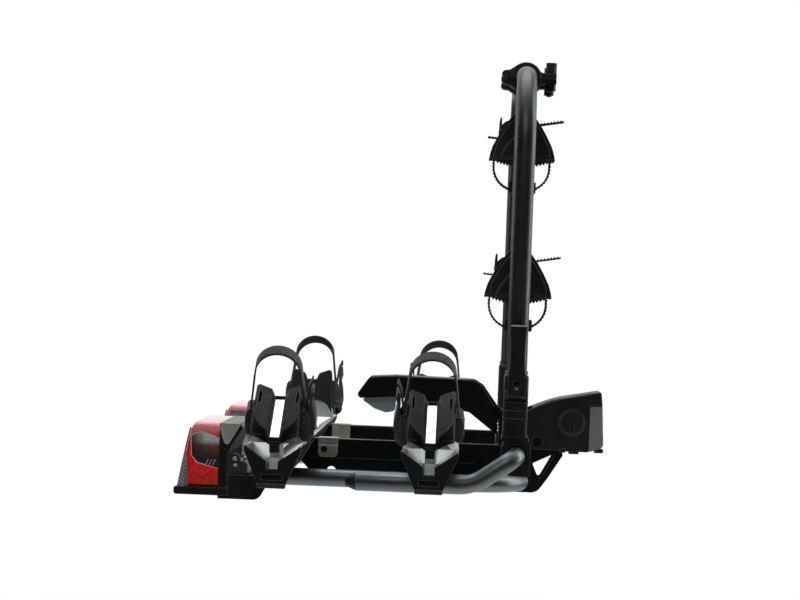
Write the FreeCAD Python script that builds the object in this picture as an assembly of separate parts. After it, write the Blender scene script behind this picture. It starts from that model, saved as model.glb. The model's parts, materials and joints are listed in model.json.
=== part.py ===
import FreeCAD, Part
import math
import os

# Folding two-bicycle carrier that clamps on a tow ball.
# Row frame, millimetres: +X towards the vehicle, +Y to its left, +Z up, origin at the tow ball's centre.
# "right" pieces lie at -Y and "left" pieces at +Y.

V = FreeCAD.Vector
ORIGIN = V(0, 0, 0)
X_AXIS = V(1, 0, 0)
Y_AXIS = V(0, 1, 0)
Z_AXIS = V(0, 0, 1)
RIGHT = -1
LEFT = 1
RUN_GAP = 0.05                      # radial clearance of every running fit
GROUND_Z = -79.5                    # underside of the feet

# wheel trays
TRAY_LENGTH = 1050
TRAY_X = {"rear": -430, "front": -213}
TRAY_HALF_TOP = 39.5
TRAY_TOP_Z = 5
TRAY_BASE_Z = -38
CAP_THICKNESS = 8

# lower frame
FRAME_TUBE_R = 13
FRAME_TUBE_WALL = 2
FRAME_TUBE_Y = 250
FRAME_TUBE_Z = -54.5
FRONT_CROSS_X = -80
FRAME_BEND_R = 80
CROSS_BAR_X = (-499.5, -471)
CROSS_BAR_Z = (-68, -41.5)
CROSS_BAR_HALF_LENGTH = 396
BEAM_Y = 218
BEAM_X = (-409, -114)
BEAM_Z = (-46, 2)
BEAM_THICKNESS = 3
BEAM_FLANGE = 20

# bow and its supports
BOW_PIVOT_X = -90
BOW_PIVOT_Z = -8.5
BOW_X = -93
BOW_LEG_Y = 290
BOW_TOP_Z = 555
BOW_R = 15
BOW_WALL = 2.5
BOW_BEND_R = 105
SUPPORT_R = 13.5
SUPPORT_Y = 337
SUPPORT_Z = TRAY_BASE_Z - SUPPORT_R - 0.3
SUPPORT_REAR_X = -320
SUPPORT_BEND_RADII = [70, 22]
SUPPORT_TIES_X = (-300, -190)
SUPPORT_TIE_WIDTH = 34
BLOCK_HALF_X = 21.5
BLOCK_HALF_Y = 18
BLOCK_TOP_Z = 17
BLOCK_BOTTOM_Z = -38
BOW_PIN_R = 8
SLEEVE_HALF = 18
SLEEVE_Z = (20, 111)
SLEEVE_GROOVES_Z = (46, 58, 70)
LOCK_LEVER_Y = 315
LOCK_LEVER_PIVOT_Z = 81.5
LOCK_LEVER_TOP_Z = 183
LOCK_LEVER_HALF_WIDTH = 13
LOCK_LEVER_HALF_DEPTH = 5.5
LOCK_PIN_R = 2.5

# frame-holder arms: name -> (Y of the arm, Z of the head's base)
ARMS = {"short_arm": (-60, 434), "long_arm": (-150, 222)}
ARM_R = 14
ARM_WALL = 2
CLAMP_R = 22.5
CLAMP_HALF_WIDTH = 17
CLAMP_BOLT_X = -55
CLAMP_BOLT_R = 4
KNOB_TOP_Z = 579.5
KNOB_R = 8
KNOB_GROOVES = 8
HEAD_HEIGHT = 68
HEAD_HALF_TOP = 17.5
HEAD_HALF_BASE = 51
HEAD_HALF_DEPTH = 23
HEAD_STRAP_HALF = 41.5
HEAD_STRAP_DEPTH = 44
HEAD_BUCKLE_X = BOW_X - 36
HEAD_BUCKLE_UP = 40                 # height of the head buckle's pivot above the head's base
HEAD_BUCKLE_HALF = 13
HEAD_PIN_R = 2
HEAD_PIN_HALF = 16.5
SPIGOT_R = 8

# tilt hinge between the coupling and the platform
TILT_X = -52
TILT_Z = -1
TILT_PIN_R = 8
PLATE_Y = (37, 42)

# coupling
BALL_R = 25
HOUSING_HALF_Y = 36
HOUSING_X = (-112, 40)
HOUSING_Z = (-10, 46)
HOUSING_WALL = 5
SEAT_R = 33
CHEEK_Y = (22, 27)
FORK_Y = (5, 11)
COVER_WALL = 2.5
COVER_Y = (43.5, 46)
COVER_BOSS = (1, 32)
COVER_BOSS_R = 19
LEVER_PIVOT_X = -132
LEVER_PIVOT_Z = 53
LEVER_PIN_R = 5
LEVER_HALF_Y = 34
LEVER_WALL = 3
JAW_FACE_X = -6
JAW_TOP_Z = 15
PUSH_ROD_R = 4
PUSH_ROD_Z = 16
TRIGGER_PIVOT = (-288, 68)
TRIGGER_PIN_R = 3
TRIGGER_HALF = 22

# tilt release
PEDAL_X = -514
PEDAL_Z = -57
PEDAL_PIN_R = 3
RELEASE_ROD_Z = -47
RELEASE_ROD_R = 3.5

# wheel holders, built in a local frame: y runs up the slope and z stands square to it
SLOPE_DEG = 27.2
CRADLE_START = (-500, 14.5)         # Y, Z of the cradle floor's outer end
CRADLE_LENGTH = 117
CRADLE_HALF_FLOOR = 8.5
CRADLE_KINK = (13, 11.6)
CRADLE_TIP = (30.5, 18.8)
CRADLE_BASE_Z = -4
CRADLE_SLOT_HALF = 6.5
STRAP_CENTRE = 74.5
STRAP_WIDTH = 25
STRAP_THICKNESS = 3
STRAP_ARC_R = 34
STRAP_ARC_Z = 70
BUCKLE_PIVOT = (46.5, -28)
BUCKLE_TIP_Z = 41
BUCKLE_HALF = 13
BUCKLE_EAR = (13.5, 16.5)
BUCKLE_PIN_R = 2.5
FOOT_HALF = 7.5
FOOT_Z = -29

# lamps
LAMP_Y = (170, 406)
LAMP_Z = (-63.5, 28)
LENS_BACK_X = -514
LENS_WALL = 2.5


def box(x_range, y_range, z_range):
    sizes = [max(r) - min(r) for r in (x_range, y_range, z_range)]
    corner = V(min(x_range), min(y_range), min(z_range))
    return Part.makeBox(sizes[0], sizes[1], sizes[2], corner)


def rod(start, end, radius):
    """Solid cylinder from start to end."""
    direction = V(*end) - V(*start)
    return Part.makeCylinder(radius, direction.Length, V(*start), direction)


def rod_y(x, z, radius, y_range):
    return rod((x, min(y_range), z), (x, max(y_range), z), radius)


def both_sides(low, high, side):
    """A Y range given by distances from the middle plane, on one side of it."""
    return (side * low, side * high)


def mirrored(shape):
    """The same shape on the other side of the middle plane."""
    return shape.mirror(ORIGIN, Y_AXIS)


def corner_arc(before, corner, after, radius):
    """Tangent points and middle point of a rounded corner."""
    to_before = (before - corner).normalize()
    to_after = (after - corner).normalize()
    half = to_before.getAngle(to_after) / 2
    reach = radius / math.tan(half)
    bisector = (to_before + to_after).normalize()
    middle = corner + bisector * (radius / math.sin(half) - radius)
    return corner + to_before * reach, middle, corner + to_after * reach


def rounded_path(points, radii, closed):
    """Wire through 3-D points whose corners have the given radii (0 keeps a corner sharp)."""
    count = len(points)
    inner = range(count) if closed else range(1, count - 1)
    stops = {}
    for i in inner:
        if radii[i] > 0:
            stops[i] = corner_arc(points[i - 1], points[i], points[(i + 1) % count], radii[i])
    edges = []
    for i in range(count if closed else count - 1):
        j = (i + 1) % count
        leave = stops[i][2] if i in stops else points[i]
        arrive = stops[j][0] if j in stops else points[j]
        if (arrive - leave).Length > 1e-6:
            edges.append(Part.makeLine(leave, arrive))
        if j in stops:
            edges.append(Part.Arc(*stops[j]).toShape())
    return Part.Wire(Part.__sortEdges__(edges))


def side_plate(outline, y_range):
    """Prism along Y of a closed outline of (x, z) or (x, z, corner radius) points."""
    low = min(y_range)
    points = [V(p[0], low, p[1]) for p in outline]
    radii = [p[2] if len(p) > 2 else 0 for p in outline]
    wire = rounded_path(points, radii, True)
    return Part.Face(wire).extrude(V(0, max(y_range) - low, 0))


def tube(points, bend_radii, outer, wall):
    """Bent round tube along 3-D points, with one radius for every bend between its ends."""
    points = [V(*p) for p in points]
    path = rounded_path(points, [0] + bend_radii + [0], False)
    direction = points[1] - points[0]
    skins = []
    for radius in (outer, outer - wall):
        ring = Part.Wire(Part.makeCircle(radius, points[0], direction))
        skins.append(path.makePipeShell([ring], True, False))
    return skins[0].cut(skins[1])


def group(shapes):
    return Part.makeCompound(list(shapes))


def tray_outline():
    """Closed outline of the wheel tray: a gull-wing channel with a deep middle slot."""
    right = [
        (8, -30), (8, -18), (10.5, -16), (36.5, 3), (36.5, TRAY_TOP_Z), (TRAY_HALF_TOP, TRAY_TOP_Z),
        (TRAY_HALF_TOP, 0), (18, TRAY_BASE_Z),
    ]
    left = [(-x, z) for x, z in reversed(right)]
    return right + left


def wheel_tray(x):
    half = TRAY_LENGTH / 2 - CAP_THICKNESS
    rail = side_plate(tray_outline(), (-half, half))
    cavity = [(34.5, -1.5), (12.5, -18.5), (10.5, -20.5), (10.5, -35.5), (17, -35.5)]
    for side in (1, -1):
        outline = [(side * cx, cz) for cx, cz in cavity]
        rail = rail.cut(side_plate(outline, (-half - 1, half + 1)))
    rail.translate(V(x, 0, 0))
    return rail


def tray_end_cap(x, side):
    """Moulded shield that closes the tray's end and covers its edge."""
    half = TRAY_LENGTH / 2
    right = [
        (8, -27), (8, -16), (36, 3.5), (36, TRAY_TOP_Z), (TRAY_HALF_TOP, TRAY_TOP_Z, 2),
        (TRAY_HALF_TOP, -2, 6), (20.5, -46, 3), (17, -52.5, 2),
    ]
    left = [(-p[0],) + tuple(p[1:]) for p in reversed(right)]
    cap = side_plate(right + left, both_sides(half - CAP_THICKNESS, half, side))
    slot = box((-14.5, 14.5), both_sides(half - 4, half + 1, side), (-42, -34))
    cap = cap.cut(slot)
    cap.translate(V(x, 0, 0))
    return cap


def main_frame_tube():
    rear = CROSS_BAR_X[1]
    y = FRAME_TUBE_Y
    z = FRAME_TUBE_Z
    path = [(rear, -y, z), (FRONT_CROSS_X, -y, z), (FRONT_CROSS_X, y, z), (rear, y, z)]
    return tube(path, [FRAME_BEND_R, FRAME_BEND_R], FRAME_TUBE_R, FRAME_TUBE_WALL)


def bow_support(side):
    """Outer tube that rises to the bow's pivot, with two flat ties to the main frame tube."""
    y = side * SUPPORT_Y
    path = [
        (SUPPORT_REAR_X, y, SUPPORT_Z), (-152, y, SUPPORT_Z), (BOW_PIVOT_X, y, BOW_PIVOT_Z),
        (BOW_PIVOT_X, side * (BOW_LEG_Y + BLOCK_HALF_Y + 3), BOW_PIVOT_Z),
    ]
    shape = tube(path, SUPPORT_BEND_RADII, SUPPORT_R, FRAME_TUBE_WALL)
    bore = rod((SUPPORT_REAR_X, y, SUPPORT_Z), (-170, y, SUPPORT_Z), SUPPORT_R - FRAME_TUBE_WALL)
    for x in SUPPORT_TIES_X:
        ends = both_sides(FRAME_TUBE_Y + FRAME_TUBE_R + 0.1, SUPPORT_Y - SUPPORT_R + 2, side)
        tie = box((x, x + SUPPORT_TIE_WIDTH), ends, (SUPPORT_Z - 5, SUPPORT_Z + 1))
        shape = shape.fuse(tie.cut(bore))
    return shape


def support_cap(side):
    """Tapered plug in the open rear end of a bow support."""
    y = side * SUPPORT_Y
    x = SUPPORT_REAR_X
    stub = rod((x, y, SUPPORT_Z), (x + 20, y, SUPPORT_Z), SUPPORT_R - FRAME_TUBE_WALL - RUN_GAP)
    tip = Part.makeCone(SUPPORT_R, 7, 16, V(x, y, SUPPORT_Z), V(-1, 0, 0))
    return stub.fuse(tip)


def side_beam(side):
    """Channel that ties the two trays, pocketed where they pass through it."""
    low, high = BEAM_Z
    web_y = both_sides(BEAM_Y, BEAM_Y + BEAM_THICKNESS, side)
    flange_y = both_sides(BEAM_Y - BEAM_FLANGE, BEAM_Y + BEAM_THICKNESS, side)
    web_outline = [(BEAM_X[0], high), (BEAM_X[1], high), (BEAM_X[1], -26), (-150, low, 8), (-395, low, 12),
                   (BEAM_X[0], -30, 10)]
    beam = side_plate(web_outline, web_y)
    beam = beam.fuse(box(BEAM_X, flange_y, (high - BEAM_THICKNESS, high)))
    beam = beam.fuse(box((-380, -150), flange_y, (low, low + BEAM_THICKNESS)))
    room = 0.8
    pocket = [(TRAY_HALF_TOP + room, 12), (TRAY_HALF_TOP + room, -room), (18 + room, TRAY_BASE_Z - room / 2)]
    pocket += [(-x, z) for x, z in reversed(pocket)]
    for x in TRAY_X.values():
        beam = beam.cut(side_plate([(x + px, pz) for px, pz in pocket], (side * 150, side * 300)))
    notch = rod_y(-362, -46, 7, (side * 150, side * 300))
    return beam.cut(notch)


def beam_clip(side):
    """Bent zinc tab over the beam's top edge, with one bolt hole."""
    x_range = (-383, -353)
    top = BEAM_Z[1]
    outer = BEAM_Y + BEAM_THICKNESS
    face = box(x_range, both_sides(outer, outer + 1.5, side), (-24, top + 1.5))
    fold = box(x_range, both_sides(BEAM_Y - 14, outer + 1.5, side), (top, top + 1.5))
    hole = rod_y(-374, -14, 4.7, both_sides(outer - 1, outer + 3, side))
    return face.fuse(fold).cut(hole)


def rear_cross_bar():
    """Box section behind the rear tray, with the pedal's two ears and a hole for the release rod."""
    y_range = (-CROSS_BAR_HALF_LENGTH, CROSS_BAR_HALF_LENGTH)
    outer = box(CROSS_BAR_X, y_range, CROSS_BAR_Z)
    wall = 2.5
    inner = box((CROSS_BAR_X[0] + wall, CROSS_BAR_X[1] - wall), (y_range[0] - 1, y_range[1] + 1),
                (CROSS_BAR_Z[0] + wall, CROSS_BAR_Z[1] - wall))
    bar = outer.cut(inner)
    for side in (RIGHT, LEFT):
        ear = box((PEDAL_X - 6, CROSS_BAR_X[0]), both_sides(24, 29, side), (PEDAL_Z - 6, PEDAL_Z + 6))
        bar = bar.fuse(ear)
    bar = bar.cut(rod_y(PEDAL_X, PEDAL_Z, PEDAL_PIN_R + 0.02, (-40, 40)))
    passage = rod((-510, 0, RELEASE_ROD_Z), (-460, 0, RELEASE_ROD_Z), RELEASE_ROD_R + 0.5)
    return bar.cut(passage)


def lamp_carrier(side):
    """Shelf under a tail lamp with the rear foot plate at its outer end."""
    shelf_outline = [(-577, -64, 3), (-577, -75, 4), (-500, -75), (-500, -64)]
    shelf = side_plate(shelf_outline, both_sides(LAMP_Y[0] - 2, LAMP_Y[1] + 1, side))
    foot_outline = [
        (-514, -75), (-514, GROUND_Z), (-456, GROUND_Z, 14), (-447, -62, 6), (-447, -45),
        (-500, -45), (-500, -64), (-514, -64),
    ]
    foot_y = both_sides(CROSS_BAR_HALF_LENGTH, CROSS_BAR_HALF_LENGTH + 7, side)
    foot = side_plate(foot_outline, foot_y)
    return shelf.fuse(foot)


def lamp_housing(side):
    """Back shell of a tail lamp."""
    low, high = LAMP_Z
    outline = [
        (LENS_BACK_X, low), (LENS_BACK_X, high), (-484, high, 3), (-481, 22, 3), (-497, -4, 8),
        (-500.5, -14), (-500.5, low),
    ]
    return side_plate(outline, both_sides(LAMP_Y[0], LAMP_Y[1], side))


def lamp_lens(side):
    """Hollow lens that wraps the rear and the ends of the lamp."""
    low, high = LAMP_Z
    outline = [(LENS_BACK_X, low), (LENS_BACK_X, high), (-546, high, 8), (-556, 18, 10), (-573, low, 3)]
    skin = side_plate(outline, both_sides(LAMP_Y[0], LAMP_Y[1], side))
    wall = LENS_WALL
    hollow = [(LENS_BACK_X + 1, low + wall), (LENS_BACK_X + 1, high - wall), (-546, high - wall),
              (-554, 16), (-569, low + wall)]
    ends = both_sides(LAMP_Y[0] + wall, LAMP_Y[1] - wall, side)
    return skin.cut(side_plate(hollow, ends))


def lamp_screw(side, z):
    """Pan-head screw in the outer end of the lamp housing."""
    y = side * (LAMP_Y[1] + 0.1)
    return rod((-505, y, z), (-505, y + side * 3, z), 4)


def centre_plate(side):
    """Plate that carries the tilt pin, holds the front cross tube and ends in a front foot."""
    outline = [
        (-97, GROUND_Z, 6), (-50, GROUND_Z, 18), (-34, -57, 10), (-11, -20, 5), (-15, -5, 6),
        (-28, 14, 10), (-52, 22, 16), (-76, 14, 10), (-97, -30, 10),
    ]
    plate = side_plate(outline, both_sides(PLATE_Y[0], PLATE_Y[1], side))
    window_outline = [(-58, -34, 2), (-22, -16.5, 1.2), (-46, -61, 3)]
    window = side_plate(window_outline, both_sides(PLATE_Y[0] - 1, PLATE_Y[1] + 1, side))
    plate = plate.cut(window)
    plate = plate.cut(rod_y(FRONT_CROSS_X, FRAME_TUBE_Z, FRAME_TUBE_R + 0.02, (side * 30, side * 50)))
    return plate.cut(rod_y(TILT_X, TILT_Z, TILT_PIN_R + 0.02, (side * 30, side * 50)))


def bow_tube():
    x = BOW_X
    y = BOW_LEG_Y
    path = [(x, -y, BLOCK_TOP_Z), (x, -y, BOW_TOP_Z), (x, y, BOW_TOP_Z), (x, y, BLOCK_TOP_Z)]
    return tube(path, [BOW_BEND_R, BOW_BEND_R], BOW_R, BOW_WALL)


def bow_hinge_block(side):
    """Cast foot of the bow with the pivot bore and a spigot inside the tube."""
    y_range = both_sides(BOW_LEG_Y - BLOCK_HALF_Y, BOW_LEG_Y + BLOCK_HALF_Y, side)
    left = BOW_X + 3 - BLOCK_HALF_X
    right = BOW_X + 3 + BLOCK_HALF_X
    outline = [(left + 6, BLOCK_TOP_Z), (left, 4, 8), (left, -22, 10), (left + 12, BLOCK_BOTTOM_Z, 8),
               (right, BLOCK_BOTTOM_Z, 4), (right, 6, 8), (right - 5, BLOCK_TOP_Z)]
    block = side_plate(outline, y_range)
    block = block.cut(rod_y(BOW_PIVOT_X, BOW_PIVOT_Z, BOW_PIN_R + RUN_GAP, (side * 200, side * 400)))
    y = side * BOW_LEG_Y
    return block.fuse(rod((BOW_X, y, BLOCK_TOP_Z - 2), (BOW_X, y, 45), BOW_R - BOW_WALL - 0.1))


def bow_pivot_pin(side):
    """Pin and thrust washer between the support tube's end and the hinge block."""
    inner = BOW_LEG_Y - BLOCK_HALF_Y
    outer = BOW_LEG_Y + BLOCK_HALF_Y
    pin = rod_y(BOW_PIVOT_X, BOW_PIVOT_Z, BOW_PIN_R, both_sides(inner - 4, outer + 3, side))
    washer = rod_y(BOW_PIVOT_X, BOW_PIVOT_Z, 16.7, both_sides(outer + 0.1, outer + 2.9, side))
    nut = rod_y(BOW_PIVOT_X, BOW_PIVOT_Z, 12, both_sides(inner - 5, inner - 0.2, side))
    return pin.fuse(washer).fuse(nut)


def bow_sleeve(side):
    """Moulded sleeve on the bow's leg with the lock lever's ears."""
    y = side * BOW_LEG_Y
    low, high = SLEEVE_Z
    outline = [(BOW_X - SLEEVE_HALF, low, 0), (BOW_X + SLEEVE_HALF, low, 0), (BOW_X + SLEEVE_HALF, high, 5),
               (BOW_X - SLEEVE_HALF, high, 5)]
    sleeve = side_plate(outline, (y - SLEEVE_HALF, y + SLEEVE_HALF))
    upright = [e for e in sleeve.Edges if abs(e.BoundBox.ZLength) > 80]
    sleeve = sleeve.makeFillet(6, upright)
    for z in SLEEVE_GROOVES_Z:
        for x in (BOW_X - SLEEVE_HALF, BOW_X + SLEEVE_HALF):
            sleeve = sleeve.cut(rod((x, y - 12, z), (x, y + 12, z), 1.2))
    sleeve = sleeve.cut(rod((BOW_X, y, low - 1), (BOW_X, y, high + 1), BOW_R + 0.05))
    face = BOW_LEG_Y + SLEEVE_HALF
    for end in (-1, 1):
        near = BOW_X + end * (LOCK_LEVER_HALF_WIDTH + 0.3)
        far = BOW_X + end * (LOCK_LEVER_HALF_WIDTH + 3.5)
        ear = box((near, far), both_sides(face - 7, LOCK_LEVER_Y + 5, side),
                  (LOCK_LEVER_PIVOT_Z - 5, LOCK_LEVER_PIVOT_Z + 5))
        sleeve = sleeve.fuse(ear)
    pin_hole = rod((BOW_X - 20, side * LOCK_LEVER_Y, LOCK_LEVER_PIVOT_Z),
                   (BOW_X + 20, side * LOCK_LEVER_Y, LOCK_LEVER_PIVOT_Z), LOCK_PIN_R + 0.02)
    return sleeve.cut(pin_hole)


def lock_pin(side):
    half = LOCK_LEVER_HALF_WIDTH + 3.5
    y = side * LOCK_LEVER_Y
    return rod((BOW_X - half, y, LOCK_LEVER_PIVOT_Z), (BOW_X + half, y, LOCK_LEVER_PIVOT_Z), LOCK_PIN_R)


def lock_lever(side):
    """Waisted lever on the leg's outer face with a keyhole slot near its pivot."""
    y = side * LOCK_LEVER_Y
    half = LOCK_LEVER_HALF_WIDTH
    waist = half - 2.5
    outline = [
        (BOW_X - half, LOCK_LEVER_PIVOT_Z), (BOW_X + half, LOCK_LEVER_PIVOT_Z), (BOW_X + half, 105, 8),
        (BOW_X + waist, 128, 20), (BOW_X + waist, 150, 20), (BOW_X + half - 0.5, LOCK_LEVER_TOP_Z, 4),
        (BOW_X - half + 0.5, LOCK_LEVER_TOP_Z, 4), (BOW_X - waist, 150, 20), (BOW_X - waist, 128, 20),
        (BOW_X - half, 105, 8),
    ]
    plate = side_plate(outline, (y - LOCK_LEVER_HALF_DEPTH, y + LOCK_LEVER_HALF_DEPTH))
    pivot_left = (BOW_X - half, y, LOCK_LEVER_PIVOT_Z)
    pivot_right = (BOW_X + half, y, LOCK_LEVER_PIVOT_Z)
    end = rod(pivot_left, pivot_right, LOCK_LEVER_HALF_DEPTH)
    lever = plate.fuse(end)
    outer = y + side * LOCK_LEVER_HALF_DEPTH
    deep = outer - side * 6
    lever = lever.cut(rod((BOW_X, deep, 97), (BOW_X, outer + side, 97), 5.5))
    lever = lever.cut(box((BOW_X - 3, BOW_X + 3), (deep, outer + side), (84.5, 97)))
    screw = rod((BOW_X, deep - side, 90), (BOW_X, deep + side * 3, 90), 2.4)
    lever = lever.fuse(screw)
    bore = rod((BOW_X - 20, y, LOCK_LEVER_PIVOT_Z), (BOW_X + 20, y, LOCK_LEVER_PIVOT_Z), LOCK_PIN_R + RUN_GAP)
    return lever.cut(bore)


def clamp_half(y, upper):
    """Half of the ring clamp on the bow's top bar, with its bolt lug."""
    y_range = (y - CLAMP_HALF_WIDTH, y + CLAMP_HALF_WIDTH)
    ring = rod_y(BOW_X, BOW_TOP_Z, CLAMP_R, y_range)
    lug_z = (BOW_TOP_Z + 0.5, BOW_TOP_Z + 8) if upper else (BOW_TOP_Z - 8, BOW_TOP_Z - 0.5)
    ring = ring.fuse(box((BOW_X, CLAMP_BOLT_X + 8), (y - 11, y + 11), lug_z))
    knuckle_z = BOW_TOP_Z + (5.5 if upper else -5.5)
    ring = ring.fuse(rod_y(-119, knuckle_z, 4.7, y_range))
    ring = ring.cut(rod_y(BOW_X, BOW_TOP_Z, BOW_R + RUN_GAP, (y - 50, y + 50)))
    keep_z = (BOW_TOP_Z + 0.5, BOW_TOP_Z + 60) if upper else (BOW_TOP_Z - 60, BOW_TOP_Z - 0.5)
    ring = ring.common(box((-200, 0), (y - 50, y + 50), keep_z))
    return ring.cut(rod((CLAMP_BOLT_X, y, 500), (CLAMP_BOLT_X, y, 600), CLAMP_BOLT_R + RUN_GAP))


def holder_arm(y, base_z):
    """Lower clamp half, the arm below it, the spigot for the head and the clamp bolt's nut."""
    shoulder = base_z + HEAD_HEIGHT + 0.3
    body = rod((BOW_X, y, shoulder), (BOW_X, y, BOW_TOP_Z - BOW_R - 2), ARM_R)
    body = body.cut(rod((BOW_X, y, shoulder + 8), (BOW_X, y, BOW_TOP_Z - BOW_R - 10), ARM_R - ARM_WALL))
    spigot = rod((BOW_X, y, base_z + 26), (BOW_X, y, shoulder + 4), SPIGOT_R)
    arm = clamp_half(y, False).fuse(body).fuse(spigot)
    nut = rod((CLAMP_BOLT_X, y, BOW_TOP_Z - 18), (CLAMP_BOLT_X, y, BOW_TOP_Z - 8.1), 7.5)
    nut = nut.cut(rod((CLAMP_BOLT_X, y, 500), (CLAMP_BOLT_X, y, 600), CLAMP_BOLT_R + RUN_GAP))
    return group([arm, nut])


def clamp_knob(y):
    """Hand knob with its bolt through both clamp lugs."""
    bolt = rod((CLAMP_BOLT_X, y, BOW_TOP_Z - 20), (CLAMP_BOLT_X, y, BOW_TOP_Z + 11), CLAMP_BOLT_R)
    knob = rod((CLAMP_BOLT_X, y, BOW_TOP_Z + 8.2), (CLAMP_BOLT_X, y, KNOB_TOP_Z), KNOB_R)
    for step in range(KNOB_GROOVES):
        angle = 2 * math.pi * step / KNOB_GROOVES
        x = CLAMP_BOLT_X + (KNOB_R + 0.6) * math.cos(angle)
        groove_y = y + (KNOB_R + 0.6) * math.sin(angle)
        knob = knob.cut(rod((x, groove_y, BOW_TOP_Z + 14), (x, groove_y, KNOB_TOP_Z + 1), 1.6))
    return bolt.fuse(knob)


def holder_head(y, base_z):
    """Triangular cradle that rests on the bicycle frame."""
    half = HEAD_HALF_BASE
    top = base_z + HEAD_HEIGHT
    outline = [
        (BOW_X - HEAD_HALF_TOP, top, 4), (BOW_X + HEAD_HALF_TOP, top, 4), (BOW_X + 36, base_z + 38, 30),
        (BOW_X + half, base_z, 2), (BOW_X - half, base_z, 2), (BOW_X - 36, base_z + 38, 30),
    ]
    head = side_plate(outline, (y - HEAD_HALF_DEPTH, y + HEAD_HALF_DEPTH))
    bore = rod((BOW_X, y, base_z + 25), (BOW_X, y, top + 1), SPIGOT_R + RUN_GAP)
    head = head.cut(bore)
    ear_x = HEAD_BUCKLE_X
    pivot_z = base_z + HEAD_BUCKLE_UP
    room = HEAD_BUCKLE_HALF + 0.3
    for end in (-1, 1):
        ear_y = (y + end * room, y + end * HEAD_PIN_HALF)
        ear = box((ear_x - 3.5, BOW_X - 28), ear_y, (pivot_z - 4, pivot_z + 4))
        head = head.fuse(ear)
    pin = rod_y(ear_x, pivot_z, HEAD_PIN_R, (y - HEAD_PIN_HALF, y + HEAD_PIN_HALF))
    pocket = box((ear_x - 4, ear_x + 4.5), (y - room, y + room), (pivot_z - 4, pivot_z + 24))
    return head.cut(pocket).fuse(pin)


def head_pad_and_strap(y, base_z):
    """Rubber rest under the head, and the ratchet strap's loop with its wear pad."""
    rest_outline = [(BOW_X - 44, base_z - 0.1), (BOW_X + 44, base_z - 0.1), (BOW_X + 26, base_z - 8, 20),
                    (BOW_X - 26, base_z - 8, 20)]
    rest = side_plate(rest_outline, (y - HEAD_HALF_DEPTH + 1, y + HEAD_HALF_DEPTH - 1))
    half = HEAD_STRAP_HALF
    low = base_z - HEAD_STRAP_DEPTH
    outer = [(-half, base_z - 0.2), (half, base_z - 0.2), (half, low, 34), (-half, low, 34)]
    inner = [(-half + 2.5, base_z + 1), (half - 2.5, base_z + 1), (half - 2.5, low + 2.5, 32),
             (-half + 2.5, low + 2.5, 32)]
    y_range = (y - 11, y + 11)
    loop = side_plate([(BOW_X + p[0],) + tuple(p[1:]) for p in outer], y_range)
    loop = loop.cut(side_plate([(BOW_X + p[0],) + tuple(p[1:]) for p in inner], (y - 12, y + 12)))
    pad = box((BOW_X - 21, BOW_X + 21), (y - 14, y + 14), (low - 7, low + 9))
    loop = loop.cut(rest)
    pad = pad.fuse(loop)
    return group([rest, pad])


def head_buckle(y, base_z):
    """Ratchet lever on the side of the head."""
    x = HEAD_BUCKLE_X
    z = base_z + HEAD_BUCKLE_UP
    y_range = (y - HEAD_BUCKLE_HALF, y + HEAD_BUCKLE_HALF)
    plate = box((x - 2.5, x + 2), y_range, (z, z + 21))
    lever = plate.fuse(rod_y(x, z, HEAD_PIN_R + 1, y_range))
    return lever.cut(rod_y(x, z, HEAD_PIN_R + RUN_GAP, (y - HEAD_PIN_HALF, y + HEAD_PIN_HALF)))


def on_slope(shape):
    """Moves a shape from the holder's local frame onto the slope at the right end of a tray."""
    placed = shape.copy()
    placed.rotate(ORIGIN, X_AXIS, SLOPE_DEG)
    placed.translate(V(0, CRADLE_START[0], CRADLE_START[1]))
    return placed


def holder_cradle():
    """Trough for the tyre, with the strap's anchor on one side and the buckle's base on the other."""
    kink_x, kink_z = CRADLE_KINK
    tip_x, tip_z = CRADLE_TIP
    right = [
        (CRADLE_HALF_FLOOR, 0), (kink_x, kink_z), (tip_x, tip_z), (tip_x + 2.5, tip_z - 2),
        (24, CRADLE_BASE_Z),
    ]
    left = [(-x, z) for x, z in reversed(right)]
    cradle = side_plate(right + left, (0, CRADLE_LENGTH))
    for end in (-1, 1):
        step = [(kink_x, -1), (kink_x, 4), (kink_x + 7, 9), (tip_x + 1, 28), (tip_x + 9, 28), (tip_x + 9, -1)]
        corners = [V(end * x, y, kink_z - 8) for x, y in step + step[:1]]
        cradle = cradle.cut(Part.Face(Part.makePolygon(corners)).extrude(V(0, 0, 30)))
    strap_range = (STRAP_CENTRE - STRAP_WIDTH / 2, STRAP_CENTRE + STRAP_WIDTH / 2)
    anchor = side_plate([(-44, -30, 4), (-24, -4), (-28, 8), (-44, 8, 2)], strap_range)
    base_range = (STRAP_CENTRE - BUCKLE_EAR[1], STRAP_CENTRE + BUCKLE_EAR[1])
    base = side_plate([(24, -4), (34, -36, 3), (42, -36, 2), (42, 12, 2), (28, 12)], base_range)
    cradle = cradle.fuse(anchor).fuse(base)
    for end in (-1, 1):
        ear_y = [STRAP_CENTRE + end * offset for offset in BUCKLE_EAR]
        ear = side_plate([(40, -34), (50, -32, 3), (50, -24, 3), (40, -18)], ear_y)
        cradle = cradle.fuse(ear)
    pin = rod_y(BUCKLE_PIVOT[0], BUCKLE_PIVOT[1], BUCKLE_PIN_R, base_range)
    slot = box((-CRADLE_SLOT_HALF, CRADLE_SLOT_HALF), (4, CRADLE_LENGTH - 6), (-2.5, 10))
    return cradle.fuse(pin).cut(slot)


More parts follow.
